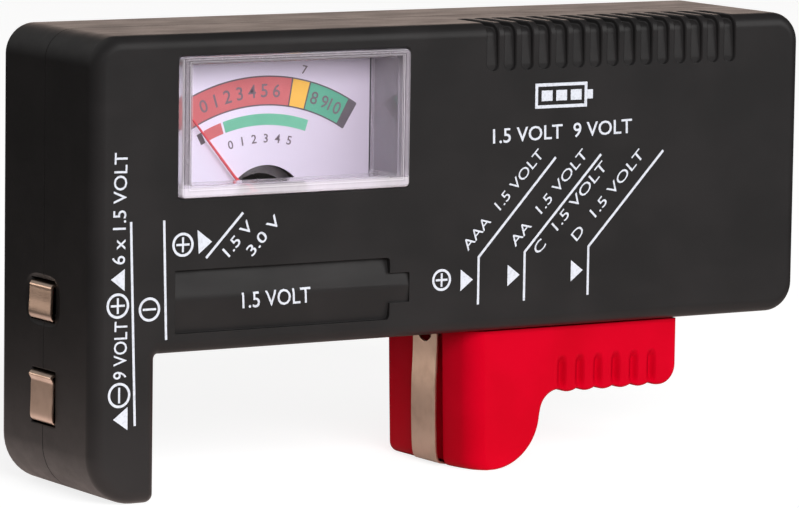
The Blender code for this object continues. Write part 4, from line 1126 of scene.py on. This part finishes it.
def needle():
    """Painted pointer with a hub and a tail, turned about the pivot to its left stop."""
    low, high = span("needle")
    rest = math.radians(-43.5)
    length = 17.2
    half_root, half_tip = 0.16, 0.1
    outline = [(-half_tip + NEEDLE_TIP_SHIFT, length), (half_tip + NEEDLE_TIP_SHIFT, length)]
    outline.append((half_root - NEEDLE_CRANK, 7.2))
    for start, end, root in ((math.pi / 2 - 0.4, -math.pi / 2 + 0.4, None), (0, 0, 0)):
        if root is None:
            for step in range(17):
                angle = start + (end - start) * step / 16
                outline.append((1.3 * math.cos(angle), 1.3 * math.sin(angle)))
    outline += [(half_root, -3.8), (-half_root, -3.8)]
    for step in range(17):
        angle = -math.pi / 2 - 0.4 - (math.pi - 0.8) * step / 16
        outline.append((1.3 * math.cos(angle), 1.3 * math.sin(angle)))
    outline.append((-half_root - NEEDLE_CRANK, 6.9))
    points = []
    for x, z in outline:
        points.append((x * math.cos(rest) + z * math.sin(rest) + PIVOT[0],
                       z * math.cos(rest) - x * math.sin(rest) + PIVOT[1]))
    pointer = loft([at_depth(points, y) for y in (low.y, high.y)])
    pointer = combined(pointer, "DIFFERENCE", turned_y(PIVOT[0], PIVOT[1], ((low.y - 1, 0.65), (high.y + 1, 0.65))))
    pointer = bevelled(pointer, 0.06)
    finish_piece("needle_pointer", pointer, MATERIALS["needle_red"], "movement", ("needle",))


# ---------------------------------------------------------------- contacts


def leaf_contacts():
    upper_width = (UPPER_LEAF_Y - STRIP_WIDTH / 2, UPPER_LEAF_Y + STRIP_WIDTH / 2)
    lower_width = (LEAF_MID_Y - STRIP_WIDTH / 2, LEAF_MID_Y + STRIP_WIDTH / 2)
    cell_width = (MID_Y - STRIP_WIDTH / 2, MID_Y + STRIP_WIDTH / 2)
    inside = WALL + 0.8
    low, high = 22.95, 27.35
    middle = (low + high) / 2
    upper = ((inside, high + 5), (inside, high + 0.7), (inside - 0.6, high), (0.3, high - 0.02),
             (-0.12, high - 0.25), (-0.17, high - 0.8), (-0.22, middle), (-0.3, low + 0.8), (-0.27, low + 0.3),
             (-0.1, low - 0.02),
             (0.2, low - 0.12), (inside - 0.6, low), (inside, low - 0.8), (inside, low - 2))
    low, high = 9.5, 15.7
    lower = ((inside, high + 2.6), (inside, high + 0.7), (inside - 0.6, high), (0.1, high + 0.02),
             (-0.36, high - 0.28), (-0.28, high - 0.6), (-0.1, high - 1.0), (-0.12, high - 2.0), (-0.14, low + 2.5),
             (-0.2, low + 0.6), (0.05, low + 0.05), (0.5, low - 0.05),
             (inside - 0.5, low), (inside, low - 0.4), (inside, low - 0.7))
    inside = LEG_WIDTH - WALL - 0.9
    low, high = 8.8, 15.8
    middle = (low + high) / 2
    cell = ((inside, high + 4), (inside, high + 0.8), (inside + 0.6, high), (LEG_WIDTH - 0.2, high - 0.2),
            (LEG_WIDTH + 0.45, middle + 2), (LEG_WIDTH + 0.7, middle), (LEG_WIDTH + 0.45, middle - 2),
            (LEG_WIDTH - 0.2, low + 0.2), (inside + 0.6, low), (inside, low + 0.1))
    for name, path, width, body in (("contact_9v_positive", upper, upper_width, "positive_leaf"),
                                    ("contact_9v_negative", lower, lower_width, "negative_leaf"),
                                    ("cell_contact", cell, cell_width, "cell_leaf")):
        finish_piece(f"{name}_leaf", ribbon(smooth_path(path), width), MATERIALS["nickel"], body, (name,))


def strip_hole(left, right):
    """Cutter for the oval hole at the top of the slider's strip and for the pocket behind it."""
    rings = []
    for x in (left, right):
        ring = []
        for i in range(24):
            angle = math.tau * i / 24
            ring.append((x, SLIDER_STRIP_MID_Y + 1.7 * math.cos(angle), 17.9 + 1.3 * math.sin(angle)))
        rings.append(ring)
    return loft(rings)


def slider_strip():
    """Sprung strip: under the arm, up its left face, through the track and over to the wiper end."""
    face = SLIDER_LEFT - 0.16 - 0.175
    floor = 0.38
    path = ((SLIDER_LEFT + 7.2, floor), (SLIDER_LEFT + 3, floor), (SLIDER_LEFT + 0.9, floor + 0.07), (face + 0.25, 1.1),
            (face - 0.05, 4.5), (face - 0.15, 10.0), (face, 15.0), (face, 19.0), (face + 0.1, 21.4),
            (face + 0.7, 23.0), (SLIDER_LEFT + 2.2, 23.3), (SLIDER_LEFT + 4.5, 24.1), (SLIDER_LEFT + 6.5, 24.65),
            (SLIDER_LEFT + 8.2, 24.1))
    strip = ribbon(smooth_path(path), (SLIDER_STRIP_MID_Y - STRIP_WIDTH / 2, SLIDER_STRIP_MID_Y + STRIP_WIDTH / 2))
    strip = combined(strip, "DIFFERENCE", strip_hole(face - 2, face + 2))
    finish_piece("slider_contact_strip", strip, MATERIALS["nickel"], "thumb_slider", ("slider_contact",))


# ---------------------------------------------------------------- slider


def slider_outline(left_offset, inset):
    """Side view of the slider, moved in at its left end by left_offset and all round by inset."""
    draft = 0.45
    base = SLIDER_BASE + inset
    left = SLIDER_LEFT + left_offset
    toe = 1.5
    points = [(left, SLIDER_TOP), (left + draft * 0.5, SLIDER_TOP / 2)]
    for step in range(9):
        angle = math.pi / 2 * step / 8
        points.append((left + draft + toe * (1 - math.cos(angle)), base + toe * (1 - math.sin(angle))))
    heel_x = SLIDER_LEFT + 4.8
    heel_z = SLIDER_BASE + HEEL_RADIUS
    reach = HEEL_RADIUS - inset
    floor_x = points[-1][0]
    for step in range(1, 25):
        angle = math.radians(-90 + 86 * step / 24)
        points.append((max(heel_x + reach * math.cos(angle), floor_x + 0.02 * step), heel_z + reach * math.sin(angle)))
    hook_x = heel_x + HEEL_RADIUS + 3.0 + 0.1
    hook_z = TAIL_BOTTOM - 3.0
    for step in range(13):
        angle = math.radians(172 - 78 * step / 12)
        points.append((hook_x + (3.0 + inset) * math.cos(angle), hook_z + (3.0 + inset) * math.sin(angle)))
    for index in range(LOBE_COUNT):
        for step in range(8):
            share = step / 8
            if index + share > LOBE_COUNT - 0.5:
                break
            x = LOBE_FIRST_X - LOBE_PITCH / 2 + (index + share) * LOBE_PITCH
            points.append((x, TAIL_BOTTOM + inset - LOBE_DROP * math.sin(math.pi * share) ** 0.8))
    last_x = LOBE_FIRST_X + (LOBE_COUNT - 1) * LOBE_PITCH + 0.3
    reach = SLIDER_RIGHT - inset - last_x
    rise = 2.7 - inset
    for step in range(13):
        angle = math.radians(-90 + 90 * step / 12)
        points.append((last_x + reach * math.cos(angle), TAIL_BOTTOM - LOBE_DROP + inset + rise + rise * math.sin(angle)))
    points.append((SLIDER_RIGHT - inset, SLIDER_TOP))
    return points


def rounded_stations(depth_span, fillet, start_angle, steps=14):
    """How far the left end and the edges are drawn in at each depth behind a face of the slider."""
    first = math.radians(start_angle)
    radius = depth_span / math.cos(first)
    stations = []
    for step in range(steps + 1):
        angle = first + (math.pi / 2 - first) * step / steps
        depth = radius * (math.cos(first) - math.cos(angle))
        left_offset = radius * (1 - math.sin(angle))
        remaining = max(fillet - depth, 0.0)
        inset = fillet - math.sqrt(max(fillet**2 - remaining**2, 0.0))
        stations.append((depth, left_offset, inset))
    return stations


def leaning_stations(fillet):
    """Stations of the slider's front corner: a rounded arc, then a gently bowed flank back to the strip."""
    crease = math.radians(12)
    shoulder = math.radians(72)
    upright = math.radians(86)
    corner_radius = 3.4
    depth_span = 6.2
    corner_depth = corner_radius * (math.cos(crease) - math.cos(shoulder))
    flank_radius = (depth_span - corner_depth) / (math.cos(shoulder) - math.cos(upright))
    flank_offset = flank_radius * (math.sin(upright) - math.sin(shoulder))
    stations = []
    for step in range(13):
        angle = crease + (shoulder - crease) * step / 12
        depth = corner_radius * (math.cos(crease) - math.cos(angle))
        offset = flank_offset + corner_radius * (math.sin(shoulder) - math.sin(angle))
        remaining = max(fillet - depth, 0.0)
        inset = fillet - math.sqrt(max(fillet**2 - remaining**2, 0.0))
        stations.append((depth, offset, inset))
    for step in range(1, 7):
        angle = shoulder + (upright - shoulder) * step / 6
        depth = corner_depth + flank_radius * (math.cos(shoulder) - math.cos(angle))
        stations.append((depth, flank_radius * (math.sin(upright) - math.sin(angle)), 0.0))
    return stations


def grip_flute(x):
    """Cutter for one soft upright hollow on the front of the slider's tail, closed at both ends."""
    half = 1.1
    deepest = 0.85
    top = 15.1
    bottom = TAIL_BOTTOM - 0.25
    count = 22
    rings = []
    for level in range(count + 1):
        z = bottom + (top + 0.2 - bottom) * level / count
        fade = max(0.0, min(1.0, (top - z) / 1.5, (z - bottom) / 1.3))
        deep = deepest * fade * fade * (3 - 2 * fade)
        ring = [(x - half, SLIDER_FRONT_Y - 1, z)]
        for step in range(17):
            share = step / 16
            y = SLIDER_FRONT_Y - 0.012 + (deep + 0.001) * math.sin(math.pi * share**1.7) ** 2
            ring.append((x - half + 2 * half * share, y, z))
        ring.append((x + half, SLIDER_FRONT_Y - 1, z))
        rings.append(ring)
    return loft(rings)


def thumb_slider():
    """Red thumb slider: arm, ribbed tail, and the neck and flange that hold it in the track."""
    rings = []
    for depth, left_offset, inset in leaning_stations(SLIDER_FILLET):
        rings.append(at_depth(slider_outline(left_offset, inset), SLIDER_FRONT_Y + depth))
    back = []
    for depth, left_offset, inset in rounded_stations(1.2, SLIDER_FILLET, 0, 9):
        back.append(at_depth(slider_outline(left_offset, inset), SLIDER_BACK_Y - depth))
    body = loft(rings + back[::-1])
    neck = block((60.5, 88.0), (MID_Y - 3.5, MID_Y + 3.5), (BODY_BOTTOM - 2, 22.1))
    flange = block((59.9, 88.6), (MID_Y - 6.2, MID_Y + 6.2), (21.2, 22.6))
    body = combined(body, "UNION", neck, flange)
    flutes = [grip_flute(LOBE_FIRST_X + (index - 0.5) * LOBE_PITCH) for index in range(LOBE_COUNT)]
    groove = block((SLIDER_LEFT - 1, SLIDER_LEFT + 8), (SLIDER_STRIP_MID_Y - 3.2, SLIDER_STRIP_MID_Y + 3.2), (-1, 0.85))
    channel = block((SLIDER_LEFT - 1, SLIDER_LEFT + 0.9), (SLIDER_STRIP_MID_Y - 3.5, SLIDER_STRIP_MID_Y + 3.1),
                    (-1.1, SLIDER_TOP + 1))
    pocket = strip_hole(SLIDER_LEFT - 1.1, SLIDER_LEFT + 3.5)
    body = combined(body, "DIFFERENCE", merge(*flutes), groove, channel, pocket)
    finish_piece("slider_grip", body, MATERIALS["slider_red"], "thumb_slider", ("slider",), sharp=28)


# ---------------------------------------------------------------- stage


def paint_carried_nodes():
    """Gives every CAD node that still shows the material of its slot."""
    slots = {row["node"]: row["material_slot"] for row in frame["record"]["subparts"]}
    for name, node in frame["nodes"].items():
        node.data.materials.clear()
        node.data.materials.append(MATERIALS["ring_iron" if name == "return_ring" else slots[name]])


def floor():
    data = bmesh.new()
    bmesh.ops.create_grid(data, x_segments=2, y_segments=2, size=6.0)
    mesh = bpy.data.meshes.new("floor")
    data.to_mesh(mesh)
    data.free()
    obj = bpy.data.objects.new("floor", mesh)
    obj.location.z = -0.02 * MM
    bpy.context.scene.collection.objects.link(obj)
    material, nodes = new_material("pale_floor")
    seen = nodes.add("ShaderNodeBsdfDiffuse", {"Color": (0.36, 0.36, 0.36, 1.0)})
    lit = nodes.add("ShaderNodeEmission", {"Color": (1.0, 1.0, 1.0, 1.0), "Strength": 0.82})
    paper = nodes.add("ShaderNodeAddShader", {0: seen.outputs[0], 1: lit.outputs[0]})
    # For all rays but the camera's, the floor is painted: a warm pool of painted light near the tester, fading to dark
    # far off.
    reach = nodes.add("ShaderNodeVectorMath", {0: nodes.place()}, operation="LENGTH").outputs["Value"]
    near = nodes.fit(reach, 1.0, 0.0, 55.0, 150.0)
    tone = nodes.blend(near, (0.12, 0.11, 0.105), (0.95, 0.82, 0.77))
    painted_light_pool = nodes.add("ShaderNodeBsdfDiffuse", {"Color": tone})
    path = nodes.add("ShaderNodeLightPath")
    across = nodes.add("ShaderNodeSeparateXYZ", {0: nodes.place()}).outputs["X"]
    beside = nodes.fit(across, 0.5, 0.0, -46.0, -36.0)
    # Painted reflection: a warm glow seen only in glossy rays, near the tester and on the side masked by beside.
    glint = nodes.add("ShaderNodeMath", {0: near, 1: path.outputs["Is Glossy Ray"]}, operation="MULTIPLY")
    glint = nodes.add("ShaderNodeMath", {0: glint.outputs[0], 1: beside}, operation="MULTIPLY")
    bounce = nodes.add("ShaderNodeEmission", {"Color": (1.0, 0.80, 0.74, 1.0), "Strength": glint.outputs[0]})
    mirrored = nodes.add("ShaderNodeAddShader", {0: painted_light_pool.outputs[0], 1: bounce.outputs[0]})
    mix = nodes.add("ShaderNodeMixShader", {0: path.outputs["Is Camera Ray"], 1: mirrored.outputs[0],
                                            2: paper.outputs[0]})
    nodes.finish(mix.outputs[0])
    mesh.materials.append(material)


def sky():
    """Soft surroundings: a dim room with glows where a studio has its diffusers and its backdrop."""
    world = bpy.data.worlds.new("studio")
    bpy.context.scene.world = world
    world.use_nodes = True
    nodes = Nodes(world.node_tree)
    direction = nodes.add("ShaderNodeTexCoord").outputs["Generated"]
    total = nodes.add("ShaderNodeCombineXYZ", {0: 0.05, 1: 0.048, 2: 0.047}).outputs[0]
    glows = (
        ((0.60, -0.72, 0.36), 6, 30, (1.0, 0.99, 0.98), 2.1),
        ((0.52, 0.84, 0.10), 8, 25, (1.0, 0.79, 0.69), 1.25),
        ((-0.50, 0.55, 0.75), 20, 50, (1.0, 0.98, 0.96), 0.4),
    )
    for aim, inner, outer, colour, strength in glows:
        axis = tuple(Vector(aim).normalized())
        dot = nodes.add("ShaderNodeVectorMath", {0: direction, 1: axis}, operation="DOT_PRODUCT")
        share = nodes.fit(dot.outputs["Value"], 0.0, strength, math.cos(math.radians(outer)),
                          math.cos(math.radians(inner)))
        glow = nodes.add("ShaderNodeVectorMath", {0: colour}, operation="SCALE")
        nodes.tree.links.new(share, glow.inputs["Scale"])
        total = nodes.add("ShaderNodeVectorMath", {0: total, 1: glow.outputs[0]}, operation="ADD").outputs[0]
    background = nodes.add("ShaderNodeBackground", {"Color": total, "Strength": 1.0})
    nodes.add("ShaderNodeOutputWorld", {"Surface": background.outputs[0]})


def softbox(name, place, aim, size, power, colour=(1.0, 1.0, 1.0), only=None, mirrored=True):
    """A rectangular light; with only, it lights nothing but the named pieces."""
    light = bpy.data.lights.new(name, "AREA")
    light.shape = "RECTANGLE"
    light.size, light.size_y = size
    light.energy = power
    light.color = colour
    obj = bpy.data.objects.new(name, light)
    bpy.context.scene.collection.objects.link(obj)
    obj.location = place
    obj.rotation_euler = (Vector(aim) - Vector(place)).to_track_quat("-Z", "Y").to_euler()
    obj.visible_camera = False
    obj.visible_glossy = mirrored
    if only:
        lit = bpy.data.collections.new(f"lit_by_{name}")
        for piece_name in only:
            lit.objects.link(bpy.data.objects[piece_name])
        obj.light_linking.receiver_collection = lit


def camera():
    """Long lens from the left front and slightly above, rolled a little clockwise."""
    azimuth = math.radians(-31.549)
    elevation = math.radians(7.151)
    roll = math.radians(0.838)
    distance = 708.656
    target = Vector((52.996, 12.5, 28.411))
    back = Vector((math.sin(azimuth) * math.cos(elevation), -math.cos(azimuth) * math.cos(elevation),
                   math.sin(elevation)))
    right = (-back).cross(Vector((0, 0, 1))).normalized()
    up = right.cross(-back)
    rolled_right = right * math.cos(roll) + up * math.sin(roll)
    rolled_up = up * math.cos(roll) - right * math.sin(roll)
    lens = bpy.data.cameras.new("camera")
    lens.sensor_width = 36.0
    lens.lens = 239.56
    lens.clip_start = 0.01
    lens.clip_end = 50.0
    obj = bpy.data.objects.new("camera", lens)
    bpy.context.scene.collection.objects.link(obj)
    turn = Matrix((rolled_right, rolled_up, back)).transposed().to_4x4()
    place = CORNER + (target + back * distance) * MM
    obj.matrix_world = Matrix.Translation(place) @ turn
    bpy.context.scene.camera = obj


def build():
    paint_carried_nodes()
    shells()
    case_screws()
    meter_cover()
    dial_plate()
    face_marks()
    needle()
    leaf_contacts()
    slider_strip()
    thumb_slider()
    floor()
    sky()
    softbox("key", (-0.26, -1.18, 0.52), (0, 0, 0.03), (0.8, 0.6), 19.0, mirrored=False)
    moulded = ("front_shell_skin", "rear_shell_skin", "slider_grip")
    screws = tuple(f"case_screw_{number}_turned" for number in range(1, 5))
    softbox("back_fill", (0.25, 1.15, 0.45), (0, 0, 0.03), (0.9, 0.6), 13.0, only=moulded + screws,
            mirrored=False)
    leaves = ("contact_9v_positive_leaf", "contact_9v_negative_leaf", "cell_contact_leaf")
    for name, power, lit in (("leaf_glow", 0.56, leaves), ("strip_glow", 1.1, ("slider_contact_strip",))):
        softbox(name, (-0.36, 0.56, 0.04), (-0.04, 0, 0.02), (0.42, 0.16), power, (1.0, 0.83, 0.72), lit)
    camera()
    bpy.context.scene.view_settings.view_transform = "Standard"


build()
